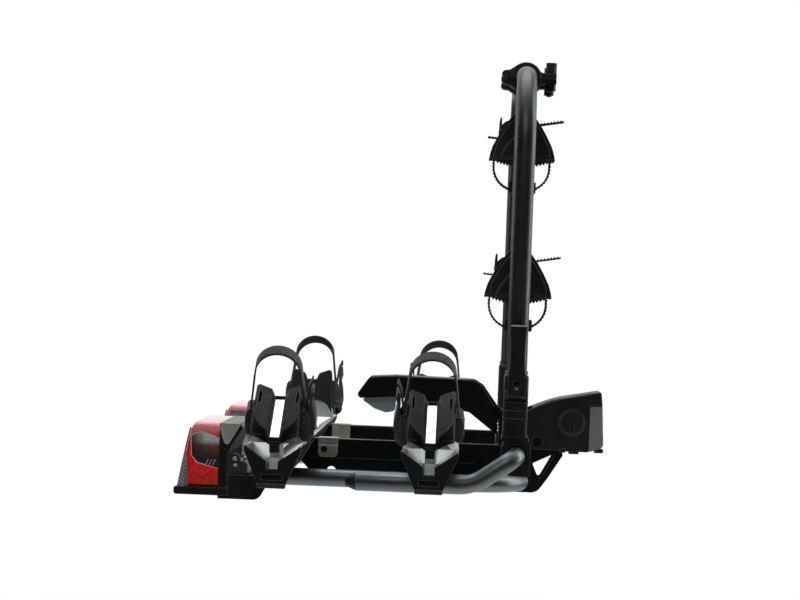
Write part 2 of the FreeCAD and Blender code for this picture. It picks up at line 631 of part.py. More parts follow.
def holder_strap():
    """Ribbed strap that arches over the tyre from the anchor to the buckle."""
    y_range = (STRAP_CENTRE - STRAP_WIDTH / 2, STRAP_CENTRE + STRAP_WIDTH / 2)
    skins = []
    for inset in (0, STRAP_THICKNESS):
        radius = STRAP_ARC_R - inset
        foot = 40 - inset
        outline = [(-foot, 8.2 - inset), (foot, 8.2 - inset), (radius, STRAP_ARC_Z), (-radius, STRAP_ARC_Z)]
        skins.append(side_plate(outline, y_range).fuse(rod_y(0, STRAP_ARC_Z, radius, y_range)))
    strap = skins[0].cut(skins[1])
    return strap.cut(box((25, 45), y_range, (0, 12.2)))


def holder_buckle():
    """Ratchet lever hinged at the foot of the buckle's base."""
    x, z = BUCKLE_PIVOT
    y_range = (STRAP_CENTRE - BUCKLE_HALF, STRAP_CENTRE + BUCKLE_HALF)
    outline = [(x - 3.5, z), (x + 3.5, z), (x + 3.5, BUCKLE_TIP_Z - 8, 4), (x, BUCKLE_TIP_Z, 3),
               (x - 3.5, BUCKLE_TIP_Z, 1)]
    lever = side_plate(outline, y_range)
    lever = lever.fuse(rod_y(x, z, BUCKLE_PIN_R + 1, y_range))
    return lever.cut(rod_y(x, z, BUCKLE_PIN_R + RUN_GAP, (0, CRADLE_LENGTH)))


def holder_foot():
    """Runner in the tray's slot with the web that props the cradle, in the row frame at X 0."""
    rise = math.tan(math.radians(SLOPE_DEG))
    start_y, start_z = CRADLE_START
    underside = start_z - 4.7 / math.cos(math.radians(SLOPE_DEG))
    outer_y = start_y + 14
    inner_y = start_y + 100
    corners = [
        (outer_y, FOOT_Z), (inner_y, FOOT_Z), (inner_y, underside + rise * (inner_y - start_y)),
        (outer_y, underside + rise * (outer_y - start_y)),
    ]
    wire = Part.makePolygon([V(-FOOT_HALF, y, z) for y, z in corners + corners[:1]])
    return Part.Face(wire).extrude(V(2 * FOOT_HALF, 0, 0))


def place_holder(shape, row, side):
    """Puts a right-hand holder piece on a tray; buckles face the space between the trays."""
    placed = shape.copy()
    if row == "front":
        placed = placed.mirror(ORIGIN, X_AXIS)
    if side == LEFT:
        placed = mirrored(placed)
    placed.translate(V(TRAY_X[row], 0, 0))
    return placed


def seat_blank():
    return rod((0, 0, HOUSING_Z[0]), (0, 0, SEAT_R + 1), SEAT_R)


def ball_room():
    """Half-round seat with a straight way in from below, turned as one piece."""
    radius = BALL_R + RUN_GAP
    floor = HOUSING_Z[0] - 30
    halfway = radius / math.sqrt(2)
    dome = Part.Arc(V(0, 0, radius), V(halfway, 0, halfway), V(radius, 0, 0)).toShape()
    lines = Part.makePolygon([V(radius, 0, 0), V(radius, 0, floor), V(0, 0, floor), V(0, 0, radius)])
    profile = Part.Face(Part.Wire([dome] + lines.Edges))
    return profile.revolve(ORIGIN, Z_AXIS, 360)


def coupling_housing():
    """Steel body with the ball seat, the tilt bores, the lever's cheeks and the release tail."""
    half = HOUSING_HALF_Y
    wall = HOUSING_WALL
    outer = box(HOUSING_X, (-half, half), HOUSING_Z)
    inner = box((HOUSING_X[0] + wall, HOUSING_X[1] - 4), (-half + wall, half - wall),
                (HOUSING_Z[0] - 1, HOUSING_Z[1] - wall))
    body = outer.cut(inner)
    seat = seat_blank().fuse(rod((0, 0, 30), (0, 0, HOUSING_Z[1] - 2), 12))
    jaw_room = box((-60, JAW_FACE_X + 0.5), (-40, 40), (-20, JAW_TOP_Z + 0.3))
    seat = seat.cut(jaw_room).cut(box((-60, -19), (-40, 40), (-20, PUSH_ROD_Z + 6)))
    body = body.fuse(seat)
    body = body.cut(ball_room())
    for side in (RIGHT, LEFT):
        cheek = side_plate([(-107, 28), (-107, 46), (-132, 64, 6), (-147, 53, 7), (-132, 42, 6)],
                           both_sides(CHEEK_Y[0], CHEEK_Y[1], side))
        body = body.fuse(cheek)
        fork_outline = [(-112, -52, 4), (-104, -52, 3), (-104, -8), (-112, -8)]
        body = body.fuse(side_plate(fork_outline, both_sides(FORK_Y[0], FORK_Y[1], side)))
    body = body.cut(rod_y(TILT_X, TILT_Z, TILT_PIN_R + RUN_GAP, (-50, 50)))
    body = body.cut(rod_y(LEVER_PIVOT_X, LEVER_PIVOT_Z, LEVER_PIN_R + 0.02, (-50, 50)))
    return body.cut(rod((-120, 0, PUSH_ROD_Z), (-100, 0, PUSH_ROD_Z), PUSH_ROD_R + 0.5))


def ball_jaw():
    """Sliding rear half of the ball seat; its lip reaches under the ball."""
    jaw = seat_blank().common(box((-60, JAW_FACE_X), (-29, 29), (-20, JAW_TOP_Z)))
    return jaw.cut(Part.makeSphere(BALL_R + RUN_GAP, ORIGIN))


def jaw_push_rod():
    rod_start = (-29, 0, PUSH_ROD_Z)
    shank = rod((-124, 0, PUSH_ROD_Z), rod_start, PUSH_ROD_R)
    foot = box((-33, -25.5), (-9, 9), (JAW_TOP_Z + 0.05, PUSH_ROD_Z + 5))
    foot = foot.cut(rod((0, 0, HOUSING_Z[0]), (0, 0, 40), 25.4))
    return shank.cut(box((-34, 0), (-10, 10), (0, JAW_TOP_Z + 0.05))).fuse(foot)


def cover_outline(inset):
    """Side outline of the plastic cover, shrunk by inset."""
    i = inset
    return [(-72 + i, -12 + i, 4), (-72 + i, 48 - i, 6), (-26, 67 - i, 160), (45 - i, 80.5 - i, 2),
            (47.5 - i, 58 - i, 3), (51 - i, -4 + i, 6), (26, -13.5 + i), (-12, -13.5 + i), (-20, -12 + i)]


def coupling_cover():
    """Moulded hood over the coupling, open below, with a chamfered top along both sides."""
    half = COVER_Y[1]
    hood = side_plate(cover_outline(0), (-half, half))
    inner_half = COVER_Y[0]
    hollow = side_plate(cover_outline(COVER_WALL), (-inner_half, inner_half))
    below = box((-80, 42), (-inner_half, inner_half), (-30, 0))
    behind = box((-90, -60), (-inner_half, inner_half), (-30, 55))
    hood = hood.cut(hollow).cut(below).cut(behind)
    for side in (RIGHT, LEFT):
        hood = hood.cut(rod_y(TILT_X, TILT_Z, TILT_PIN_R + 0.4, both_sides(40, 60, side)))
        boss_x, boss_z = COVER_BOSS
        boss = rod_y(boss_x, boss_z, COVER_BOSS_R, both_sides(half - 0.5, half + 3, side))
        slot_y = both_sides(half + 1, half + 4, side)
        slot = box((boss_x - 2.5, boss_x + 2.5), slot_y, (boss_z - 16, boss_z + 16))
        hood = hood.fuse(boss.cut(slot))
    return hood


def coupling_lever():
    """Long pressed channel that opens the ball clamp."""
    outline = [
        (-340, 56, 6), (-316, 91, 8), (-274, 94, 20), (-153, 92, 12), (-138, 83, 10), (-115, 51.5, 8),
        (-114.5, 7, 2), (-126.6, 16.4, 6), (-159, 41, 12), (-274, 61, 10),
    ]
    lever = side_plate(outline, (-LEVER_HALF_Y, LEVER_HALF_Y))
    inner_half = LEVER_HALF_Y - LEVER_WALL
    inner = side_plate([(p[0], p[1] - LEVER_WALL) + tuple(p[2:]) for p in outline], (-inner_half, inner_half))
    lever = lever.cut(inner)
    lever = lever.cut(box((-152, -100), (-inner_half, inner_half), (0, 100)))
    lever = lever.cut(rod_y(LEVER_PIVOT_X, LEVER_PIVOT_Z, LEVER_PIN_R + RUN_GAP, (-50, 50)))
    x, z = TRIGGER_PIVOT
    return lever.fuse(rod_y(x, z, TRIGGER_PIN_R, (-inner_half - 1, inner_half + 1)))


def lever_trigger():
    """Squeeze catch under the lever's handle."""
    outline = [
        (-327, 54, 2), (-300, 74, 5), (-282, 75, 4), (-274, 58, 4),
        (-276, 38, 5), (-289, 35, 8), (-308, 41, 20),
    ]
    x, z = TRIGGER_PIVOT
    trigger = side_plate(outline, (-TRIGGER_HALF, TRIGGER_HALF))
    return trigger.cut(rod_y(x, z, TRIGGER_PIN_R + RUN_GAP, (-TRIGGER_HALF - 1, TRIGGER_HALF + 1)))


def foot_pedal():
    """Tread behind the cross bar whose upper nose pulls the release rod."""
    tread_outline = [
        (-572, -62, 2), (-572, -55, 2), (-524, -51, 6), (-508, -51, 3), (-508, -61, 3), (-524, -62, 6),
    ]
    tread = side_plate(tread_outline, (-23, 23))
    wings = side_plate([(-574, -62, 2), (-574, -54, 2), (-540, -53, 2), (-540, -62, 2)], (-60, 60))
    nose_outline = [
        (PEDAL_X - 4, -55), (PEDAL_X + 4, -55), (PEDAL_X + 4, -42, 3), (PEDAL_X - 4, -42, 3),
    ]
    nose = side_plate(nose_outline, (-12, 12))
    slot = box((-530, -500), (-4.6, 4.6), (-52.8, -41))
    pedal = tread.fuse(wings).fuse(nose).cut(slot)
    return pedal.cut(rod_y(PEDAL_X, PEDAL_Z, PEDAL_PIN_R + RUN_GAP, (-30, 30)))


def release_rod():
    """Pull rod under the trays from the pedal's nose to the coupling's tail."""
    z = RELEASE_ROD_Z
    return rod((PEDAL_X + 3, 0, z), (-106, 0, z), RELEASE_ROD_R)


nodes = {}

# platform
nodes["main_frame_tube"] = main_frame_tube()
nodes["bow_supports"] = group(bow_support(side) for side in (RIGHT, LEFT))
nodes["support_caps"] = group(support_cap(side) for side in (RIGHT, LEFT))
nodes["side_beams"] = group(side_beam(side) for side in (RIGHT, LEFT))
nodes["beam_clips"] = group(beam_clip(side) for side in (RIGHT, LEFT))
nodes["rear_cross_bar"] = rear_cross_bar()
nodes["lamp_carriers"] = group(lamp_carrier(side) for side in (RIGHT, LEFT))
nodes["centre_plates"] = group(centre_plate(side) for side in (RIGHT, LEFT))
nodes["tilt_pin"] = rod_y(TILT_X, TILT_Z, TILT_PIN_R, (-46.5, 46.5))
nodes["bow_pivot_pins"] = group(bow_pivot_pin(side) for side in (RIGHT, LEFT))
nodes["pedal_pin"] = rod_y(PEDAL_X, PEDAL_Z, PEDAL_PIN_R, (-29, 29))
for row, tray_x in TRAY_X.items():
    nodes[row + "_wheel_tray"] = wheel_tray(tray_x)
nodes["tray_end_caps"] = group(tray_end_cap(x, side) for x in TRAY_X.values() for side in (RIGHT, LEFT))
nodes["lamp_housings"] = group(lamp_housing(side) for side in (RIGHT, LEFT))
nodes["lamp_lenses"] = group(lamp_lens(side) for side in (RIGHT, LEFT))
nodes["lamp_screws"] = group(lamp_screw(side, z) for side in (RIGHT, LEFT) for z in (-48, 8))

# tilt release
nodes["foot_pedal"] = foot_pedal()
nodes["release_rod"] = release_rod()

# bow
nodes["bow_tube"] = bow_tube()
nodes["bow_hinge_blocks"] = group(bow_hinge_block(side) for side in (RIGHT, LEFT))
nodes["bow_sleeves"] = group(bow_sleeve(side) for side in (RIGHT, LEFT))
nodes["lock_lever_pins"] = group(lock_pin(side) for side in (RIGHT, LEFT))
nodes["right_lock_lever"] = lock_lever(RIGHT)
nodes["left_lock_lever"] = lock_lever(LEFT)

# frame-holder arms
for arm, (arm_y, base) in ARMS.items():
    nodes[arm] = holder_arm(arm_y, base)
    nodes[arm + "_clamp_cap"] = clamp_half(arm_y, True)
    nodes[arm + "_knob"] = clamp_knob(arm_y)
    nodes[arm + "_head"] = holder_head(arm_y, base)
    nodes[arm + "_strap"] = head_pad_and_strap(arm_y, base)
    nodes[arm + "_buckle"] = head_buckle(arm_y, base)

# wheel holders
HOLDER_PIECES = {
    "cradle": on_slope(holder_cradle()),
    "strap": on_slope(holder_strap()),
    "buckle": on_slope(holder_buckle()),
    "foot": holder_foot(),
}
for row in TRAY_X:
    for name, side in (("right", RIGHT), ("left", LEFT)):
        for piece, shape in HOLDER_PIECES.items():
            nodes["_".join((row, name, "holder", piece))] = place_holder(shape, row, side)

# coupling
nodes["coupling_housing"] = coupling_housing()
nodes["coupling_cover"] = coupling_cover()
nodes["ball_jaw"] = ball_jaw()
nodes["jaw_push_rod"] = jaw_push_rod()
nodes["coupling_lever"] = coupling_lever()
nodes["lever_pin"] = rod_y(LEVER_PIVOT_X, LEVER_PIVOT_Z, LEVER_PIN_R, (-LEVER_HALF_Y - 1, LEVER_HALF_Y + 1))
nodes["lever_trigger"] = lever_trigger()

os.makedirs("parts", exist_ok=True)
for name, shape in nodes.items():
    shape.exportStep("parts/" + name + ".step")
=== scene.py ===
import json
import math

import bmesh
import bpy
from mathutils import Matrix, Vector


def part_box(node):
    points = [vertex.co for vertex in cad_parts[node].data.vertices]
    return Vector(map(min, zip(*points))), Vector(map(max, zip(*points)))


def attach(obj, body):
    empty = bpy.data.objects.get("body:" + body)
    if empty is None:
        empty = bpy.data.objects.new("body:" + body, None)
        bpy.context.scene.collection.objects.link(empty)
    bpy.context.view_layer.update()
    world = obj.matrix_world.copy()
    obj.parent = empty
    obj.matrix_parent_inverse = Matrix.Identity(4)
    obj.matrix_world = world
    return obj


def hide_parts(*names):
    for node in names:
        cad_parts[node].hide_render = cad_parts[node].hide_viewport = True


MM = 0.001
GROUND_Z = -420 * MM                   # the road, as far below the tow ball as the tilted platform needs

# camera: the photograph's side view, slightly above the platform
CAMERA_PLACE = Vector((-0.175, -4.194, 0.222))
CAMERA_LENS = 120.0
CAMERA_YAW = 1.359
CAMERA_PITCH = -0.138
CAMERA_ROLL = 2.2

FLOOR_BOUNCE = (0.95, 0.1)             # glow of the floor under the carrier and far from it
RIDGE = "ridge"                        # mesh attribute: 1 on the tops of a strap's teeth
SIDES = ("right", "left")
MIRROR_X = Matrix.Scale(-1, 4, (1, 0, 0))
MIRROR_Y = Matrix.Scale(-1, 4, (0, 1, 0))

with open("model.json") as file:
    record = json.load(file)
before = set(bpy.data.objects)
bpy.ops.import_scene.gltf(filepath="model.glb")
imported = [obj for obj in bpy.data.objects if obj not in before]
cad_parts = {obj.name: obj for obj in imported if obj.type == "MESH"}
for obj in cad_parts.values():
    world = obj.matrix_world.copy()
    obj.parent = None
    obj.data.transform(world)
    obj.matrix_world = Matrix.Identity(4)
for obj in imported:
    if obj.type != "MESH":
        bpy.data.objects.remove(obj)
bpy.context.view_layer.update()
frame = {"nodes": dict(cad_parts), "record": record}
nodes = frame["nodes"]


# ---------------------------------------------------------------- materials

class Shader:
    """A material's node tree with short helpers."""

    def __init__(self, name):
        self.material = bpy.data.materials.new(name)
        self.material.use_nodes = True
        self.tree = self.material.node_tree
        self.surface = self.tree.nodes["Principled BSDF"]
        self.place = self.node("ShaderNodeTexCoord").outputs["Object"]

    def node(self, kind, **values):
        made = self.tree.nodes.new(kind)
        for key, value in values.items():
            setattr(made, key, value)
        return made

    def link(self, source, target):
        self.tree.links.new(source, target)

    def set(self, **values):
        for key, value in values.items():
            self.surface.inputs[key.replace("_", " ")].default_value = value

    def stretched(self, scale):
        mapping = self.node("ShaderNodeMapping")
        mapping.inputs["Scale"].default_value = scale
        self.link(self.place, mapping.inputs["Vector"])
        return mapping.outputs["Vector"]

    def noise(self, scale, detail=3.0, vector=None):
        made = self.node("ShaderNodeTexNoise")
        made.inputs["Scale"].default_value = scale
        made.inputs["Detail"].default_value = detail
        self.link(vector or self.place, made.inputs["Vector"])
        return made.outputs["Fac"]

    def remap(self, value, low, high, start=0.3, end=0.7):
        made = self.node("ShaderNodeMapRange")
        made.inputs["From Min"].default_value = start
        made.inputs["From Max"].default_value = end
        made.inputs["To Min"].default_value = low
        made.inputs["To Max"].default_value = high
        self.link(value, made.inputs["Value"])
        return made.outputs["Result"]

    def ramp(self, value, *stops):
        made = self.node("ShaderNodeValToRGB")
        elements = made.color_ramp.elements
        while len(elements) < len(stops):
            elements.new(0.5)
        for element, (position, color) in zip(elements, stops):
            element.position = position
            element.color = (*color, 1)
        self.link(value, made.inputs["Fac"])
        return made.outputs["Color"]

    def mix(self, factor, a, b):
        made = self.node("ShaderNodeMix", data_type="RGBA")
        self.link(factor, made.inputs["Factor"])
        for socket, source in ((made.inputs["A"], a), (made.inputs["B"], b)):
            if isinstance(source, tuple):
                socket.default_value = (*source, 1)
            else:
                self.link(source, socket)
        return made.outputs["Result"]

    def edges(self, width=1.1):
        """1 along edges, 0 on flat faces: where a rounded normal leans off the true one; width in mm."""
        rounded_normal = self.node("ShaderNodeBevel", samples=4)
        rounded_normal.inputs["Radius"].default_value = width * MM
        lean = self.node("ShaderNodeVectorMath", operation="DOT_PRODUCT")
        self.link(rounded_normal.outputs["Normal"], lean.inputs[0])
        self.link(self.node("ShaderNodeNewGeometry").outputs["Normal"], lean.inputs[1])
        return self.remap(lean.outputs["Value"], 1.0, 0.0, 0.8, 0.985)

    def bump(self, height, strength, distance, under=None):
        made = self.node("ShaderNodeBump")
        made.inputs["Strength"].default_value = strength
        made.inputs["Distance"].default_value = distance
        self.link(height, made.inputs["Height"])
        if under is not None:
            self.link(under, made.inputs["Normal"])
        return made.outputs["Normal"]

    def color(self, source):
        self.link(source, self.surface.inputs["Base Color"])

    def along(self, axis, vector):
        """One component of a vector."""
        split = self.node("ShaderNodeSeparateXYZ")
        self.link(vector, split.inputs["Vector"])
        return split.outputs[axis]

    def true_normal(self):
        return self.node("ShaderNodeNewGeometry").outputs["True Normal"]

    def roughness(self, source):
        self.link(source, self.surface.inputs["Roughness"])

    def normal(self, source):
        self.link(source, self.surface.inputs["Normal"])


def shade(color, factor):
    return tuple(channel * factor for channel in color)


def moulded_plastic(name, color, rough, grain, shine=0.35):
    """Moulded plastic: fine spark grain, slow colour drift and a painted highlight along the edges."""
    s = Shader(name)
    drift = s.ramp(s.noise(9, 4), (0.3, shade(color, 0.8)), (0.7, shade(color, 1.25)))
    # edges are mixed toward a much lighter colour: a painted highlight
    s.color(s.mix(s.edges(1.5), drift, tuple(min(0.6, 20.0 * channel) for channel in color)))
    s.set(Specular_IOR_Level=shine)
    s.roughness(s.remap(s.noise(40, 4), rough - 0.07, rough + 0.09))
    fine = s.bump(s.noise(2600, 2), grain, 0.0002)
    s.normal(s.bump(s.noise(60, 2), 0.05, 0.001, fine))
    return s.material


def powder_coat(name, color, rough):
    """Satin powder coat: soft orange peel, tiny metallic flecks and a painted highlight along the edges."""
    s = Shader(name)
    fleck = s.remap(s.noise(4200, 1), 0.0, 1.0, 0.55, 0.75)
    drift = s.ramp(s.noise(7, 3), (0.3, shade(color, 0.88)), (0.7, shade(color, 1.15)))
    flecked = s.mix(fleck, drift, shade(color, 1.35))
    # edges are mixed toward a lighter colour: a painted highlight
    s.color(s.mix(s.edges(), flecked, tuple(max(0.12, 2.2 * channel) for channel in color)))
    s.set(Metallic=0.9, Coat_Weight=0.1, Coat_Roughness=0.3)
    s.roughness(s.remap(s.noise(30, 4), rough - 0.05, rough + 0.07))
    s.normal(s.bump(s.noise(900, 2), 0.12, 0.0004))
    return s.material


def drawn_metal(name, color, rough, along, colour_not_facing_up=None):
    """Bright metal with faint drawing lines along one axis; faces that don't look up may take another, dark
    and dull colour.
    """
    s = Shader(name)
    scale = [900.0, 900.0, 900.0]
    scale[along] = 2.0
    lines = s.noise(1.0, 3, s.stretched(scale))
    stain = s.ramp(s.noise(12, 5), (0.35, shade(color, 0.94)), (0.7, color))
    bright = s.mix(s.remap(lines, 0.0, 0.12), stain, shade(color, 0.85))
    if colour_not_facing_up is None:
        s.color(bright)
        s.set(Metallic=1.0)
    else:
        # faces that don't look up get the dark colour, without metal and with little shine
        facing_up = s.remap(s.along("Z", s.true_normal()), 0.0, 1.0, 0.03, 0.08)
        s.color(s.mix(facing_up, colour_not_facing_up, bright))
        s.link(facing_up, s.surface.inputs["Metallic"])
        s.link(s.remap(facing_up, 0.05, 0.5, 0.0, 1.0), s.surface.inputs["Specular IOR Level"])
    s.roughness(s.remap(lines, rough - 0.02, rough + 0.03))
    s.normal(s.bump(lines, 0.006, 0.0001))
    return s.material


def zinc_plate(name, color, rough):
    """Zinc plating: mottled spangle with a slight warm cast."""
    s = Shader(name)
    spangle = s.node("ShaderNodeTexVoronoi")
    spangle.inputs["Scale"].default_value = 420
    s.link(s.place, spangle.inputs["Vector"])
    mottled = s.ramp(spangle.outputs["Distance"], (0.0, shade(color, 0.8)), (1.0, shade(color, 1.15)))
    s.color(mottled)
    s.set(Metallic=1.0)
    s.roughness(s.remap(s.noise(80, 3), rough - 0.08, rough + 0.1))
    s.normal(s.bump(s.noise(700, 2), 0.15, 0.0003))
    return s.material


def soft_rubber(name, color, rough):
    """Matt rubber with dusty bloom; the tops of a strap's teeth carry a painted highlight."""
    s = Shader(name)
    bloom = s.ramp(s.noise(55, 5), (0.35, color), (0.75, shade(color, 1.3)))
    tooth_top_highlight = s.node("ShaderNodeAttribute", attribute_name=RIDGE).outputs["Fac"]
    # tops of the teeth are mixed toward a much lighter colour: a painted highlight
    s.color(s.mix(tooth_top_highlight, bloom, shade(color, 7.0)))
    s.set(Sheen_Weight=0.1, Sheen_Roughness=0.5, Specular_IOR_Level=0.35)
    s.roughness(s.remap(s.noise(120, 3), rough - 0.08, rough + 0.08))
    s.normal(s.bump(s.noise(3000, 2), 0.2, 0.0002))
    return s.material


def tinted_lens(name, dark, bright, cells, ribs=0.0, painted_top_highlight=None, painted_glow=0.0):
    """Moulded lens: a glassy skin over a prismatic pattern; an optional painted highlight as a pale band
    along its top on faces that don't look up, and an optional painted glow of its own colour.
    """
    s = Shader(name)
    pattern = s.node("ShaderNodeTexVoronoi", feature="F1")
    pattern.inputs["Scale"].default_value = cells
    s.link(s.stretched((1.0, 1.0, 0.6)), pattern.inputs["Vector"])
    glow = s.ramp(pattern.outputs["Color"], (0.25, dark), (0.75, bright))
    broad = s.ramp(s.noise(22, 3), (0.35, dark), (0.65, bright))
    body = s.mix(s.remap(s.noise(35, 1), 0.2, 0.8), broad, glow)
    if painted_top_highlight is not None:
        # painted highlight: a pale band high up on the lens, on faces that don't look up
        band = s.node("ShaderNodeMath", operation="MULTIPLY")
        s.link(s.remap(s.along("Z", s.place), 0.0, 1.0, 0.008, 0.026), band.inputs[0])
        s.link(s.remap(s.along("Z", s.true_normal()), 0.9, 0.06, 0.3, 0.8), band.inputs[1])
        body = s.mix(band.outputs["Value"], body, painted_top_highlight)
    s.color(body)
    # painted glow: the lens emits its own colour weakly
    if painted_glow:
        s.link(body, s.surface.inputs["Emission Color"])
    s.set(Coat_Weight=1.0, Coat_Roughness=0.04, Emission_Strength=painted_glow)
    s.roughness(s.remap(s.noise(40, 2), 0.16, 0.3))
    height = pattern.outputs["Distance"]
    if ribs:
        wave = s.node("ShaderNodeTexWave", bands_direction="DIAGONAL")
        wave.inputs["Scale"].default_value = ribs
        s.link(s.place, wave.inputs["Vector"])
        height = wave.outputs["Fac"]
    s.normal(s.bump(height, 0.35 if ribs else 0.12, 0.0015))
    return s.material


def window_glass(name):
    """Smoked window over an amber bulb: a painted reflection as a pale band along the top, brown in the
    middle, dark below.
    """
    s = Shader(name)
    height = s.remap(s.along("Z", s.place), 0.0, 1.0, -0.037, 0.014)
    depth = s.remap(s.along("X", s.place), 0.0, 1.0, -0.554, -0.532)
    # the pale and white stops at the top are a painted reflection
    bands = s.ramp(height, (0.0, (0.012, 0.012, 0.013)), (0.3, (0.03, 0.022, 0.02)),
                   (0.48, (0.15, 0.045, 0.03)), (0.64, (0.22, 0.1, 0.075)), (0.76, (0.75, 0.66, 0.66)),
                   (1.0, (1.0, 0.98, 0.99)))
    cells = s.remap(s.noise(160, 2), 0.75, 1.15)
    spread = s.node("ShaderNodeMix", data_type="RGBA", blend_type="MULTIPLY")
    spread.inputs["Factor"].default_value = 1.0
    s.link(s.mix(depth, (0.022, 0.02, 0.021), bands), spread.inputs["A"])
    s.link(cells, spread.inputs["B"])
    s.color(spread.outputs["Result"])
    s.set(Coat_Weight=1.0, Coat_Roughness=0.03)
    s.roughness(s.remap(s.noise(40, 2), 0.15, 0.25))
    return s.material


finish = {}

for paint, values in {
    "black_plastic": ((0.0105, 0.0107, 0.0113), 0.44, 0.35),
    "matt_plastic": ((0.009, 0.0092, 0.0097), 0.55, 0.45, 0.12),
    "grey_plastic": ((0.2, 0.205, 0.21), 0.5, 0.35),
    "lamp_body": ((0.012, 0.012, 0.013), 0.3, 0.15),
    "pale_plastic": ((0.72, 0.725, 0.73), 0.45, 0.3),
    "mid_grey": ((0.5, 0.505, 0.515), 0.42, 0.3),
    "grey_dark": ((0.05, 0.051, 0.053), 0.42, 0.3),
    # a grey for the cover's front end panel: painted light on the curved surface turning towards the light
    "nose_grey": ((0.2, 0.201, 0.204), 0.4, 0.3),
}.items():
    finish[paint] = moulded_plastic(paint, *values)

for paint, values in {
    "tube_paint": ((0.07, 0.0712, 0.074), 0.4),
    # a lighter copy of the tube paint for the lower frame tubes: painted light
    "lit_tube_paint": ((0.14, 0.142, 0.147), 0.36),
    "black_steel": ((0.014, 0.014, 0.015), 0.42),
}.items():
    finish[paint] = powder_coat(paint, *values)

for paint, values in {
    # lamp_lens: (1.0, 0.42, 0.46) is a painted highlight along the lens's top, 0.14 the strength of a painted
    # glow
    "lamp_lens": ((0.4, 0.0015, 0.003), (1.0, 0.02, 0.02), 420, 0.0, (1.0, 0.42, 0.46), 0.14),
    "clear_plastic": ((0.6, 0.6, 0.61), (0.92, 0.92, 0.92), 200),
    "amber_plastic": ((0.1, 0.025, 0.012), (0.42, 0.15, 0.08), 240),
    "ribbed_clear": ((0.12, 0.12, 0.125), (0.62, 0.62, 0.63), 170, 130),
    "ribbed_red": ((0.3, 0.004, 0.005), (0.8, 0.03, 0.02), 170, 110),
}.items():
    finish[paint] = tinted_lens(paint, *values)

finish["aluminium"] = drawn_metal("aluminium", (0.84, 0.845, 0.85), 0.27, 1, (0.012, 0.012, 0.0125))
finish["steel"] = drawn_metal("steel", (0.75, 0.75, 0.76), 0.26, 1)
finish["zinc"] = zinc_plate("zinc", (0.46, 0.46, 0.45), 0.4)
finish["rubber"] = soft_rubber("rubber", (0.013, 0.013, 0.0135), 0.7)
finish["window_glass"] = window_glass("window_glass")

BEVEL_WIDTH = 0.6 * MM
BEVEL_ANGLE = math.radians(32)
dict.fromkeys(("mid_grey", "grey_dark", "nose_grey"), "lamp_body")
dict.fromkeys(("clear_plastic", "window_glass", "amber_plastic", "ribbed_clear",
                                  "ribbed_red"), "lamp_lens")

# ---------------------------------------------------------------- mesh building, in millimetres


def arc_corner(before, corner, after, radius, steps=5):
    """Points of a rounded corner between two straight edges."""
    to_before = (before - corner).normalized()
    to_after = (after - corner).normalized()
    half = to_before.angle(to_after) / 2
    reach = radius / math.tan(half)
    centre = corner + (to_before + to_after).normalized() * (radius / math.sin(half))
    start = corner + to_before * reach - centre
    end = corner + to_after * reach - centre
    return [centre + start.slerp(end, i / steps).normalized() * radius for i in range(steps + 1)]


def rounded(points):
    """Closed outline of (x, z) or (x, z, corner radius) points, with the corners as arcs."""
    flat = [Vector((p[0], p[1])) for p in points]
    outline = []
    for i, point in enumerate(points):
        if len(point) > 2 and point[2] > 0:
            outline += arc_corner(flat[i - 1], flat[i], flat[(i + 1) % len(flat)], point[2])
        else:
            outline.append(flat[i])
    return outline


def flowing(points, steps=5, closed=True):
    """Smooth curve through the points (Catmull-Rom)."""
    pts = [Vector(p) for p in points]
    count = len(pts)
    curve = []
    for i in range(count if closed else count - 1):
        near = range(i - 1, i + 3)
        a, b, c, d = (pts[k % count] if closed else pts[min(max(k, 0), count - 1)] for k in near)
        for step in range(steps):
            t = step / steps
            curve.append(0.5 * (2 * b + (c - a) * t + (2 * a - 5 * b + 4 * c - d) * t * t
                                + (3 * b - a - 3 * c + d) * t * t * t))
    if not closed:
        curve.append(pts[-1])
    return curve


def arc(centre, radius, start, stop, steps):
    """Points of an arc from one angle to another."""
    angles = (start + (stop - start) * i / steps for i in range(steps + 1))
    return [Vector((centre[0] + radius * math.cos(a), centre[1] + radius * math.sin(a))) for a in angles]


def circle(radius, count, centre=(0, 0)):
    """Points of a closed circle."""
    return arc(centre, radius, 0, 2 * math.pi, count)[:-1]


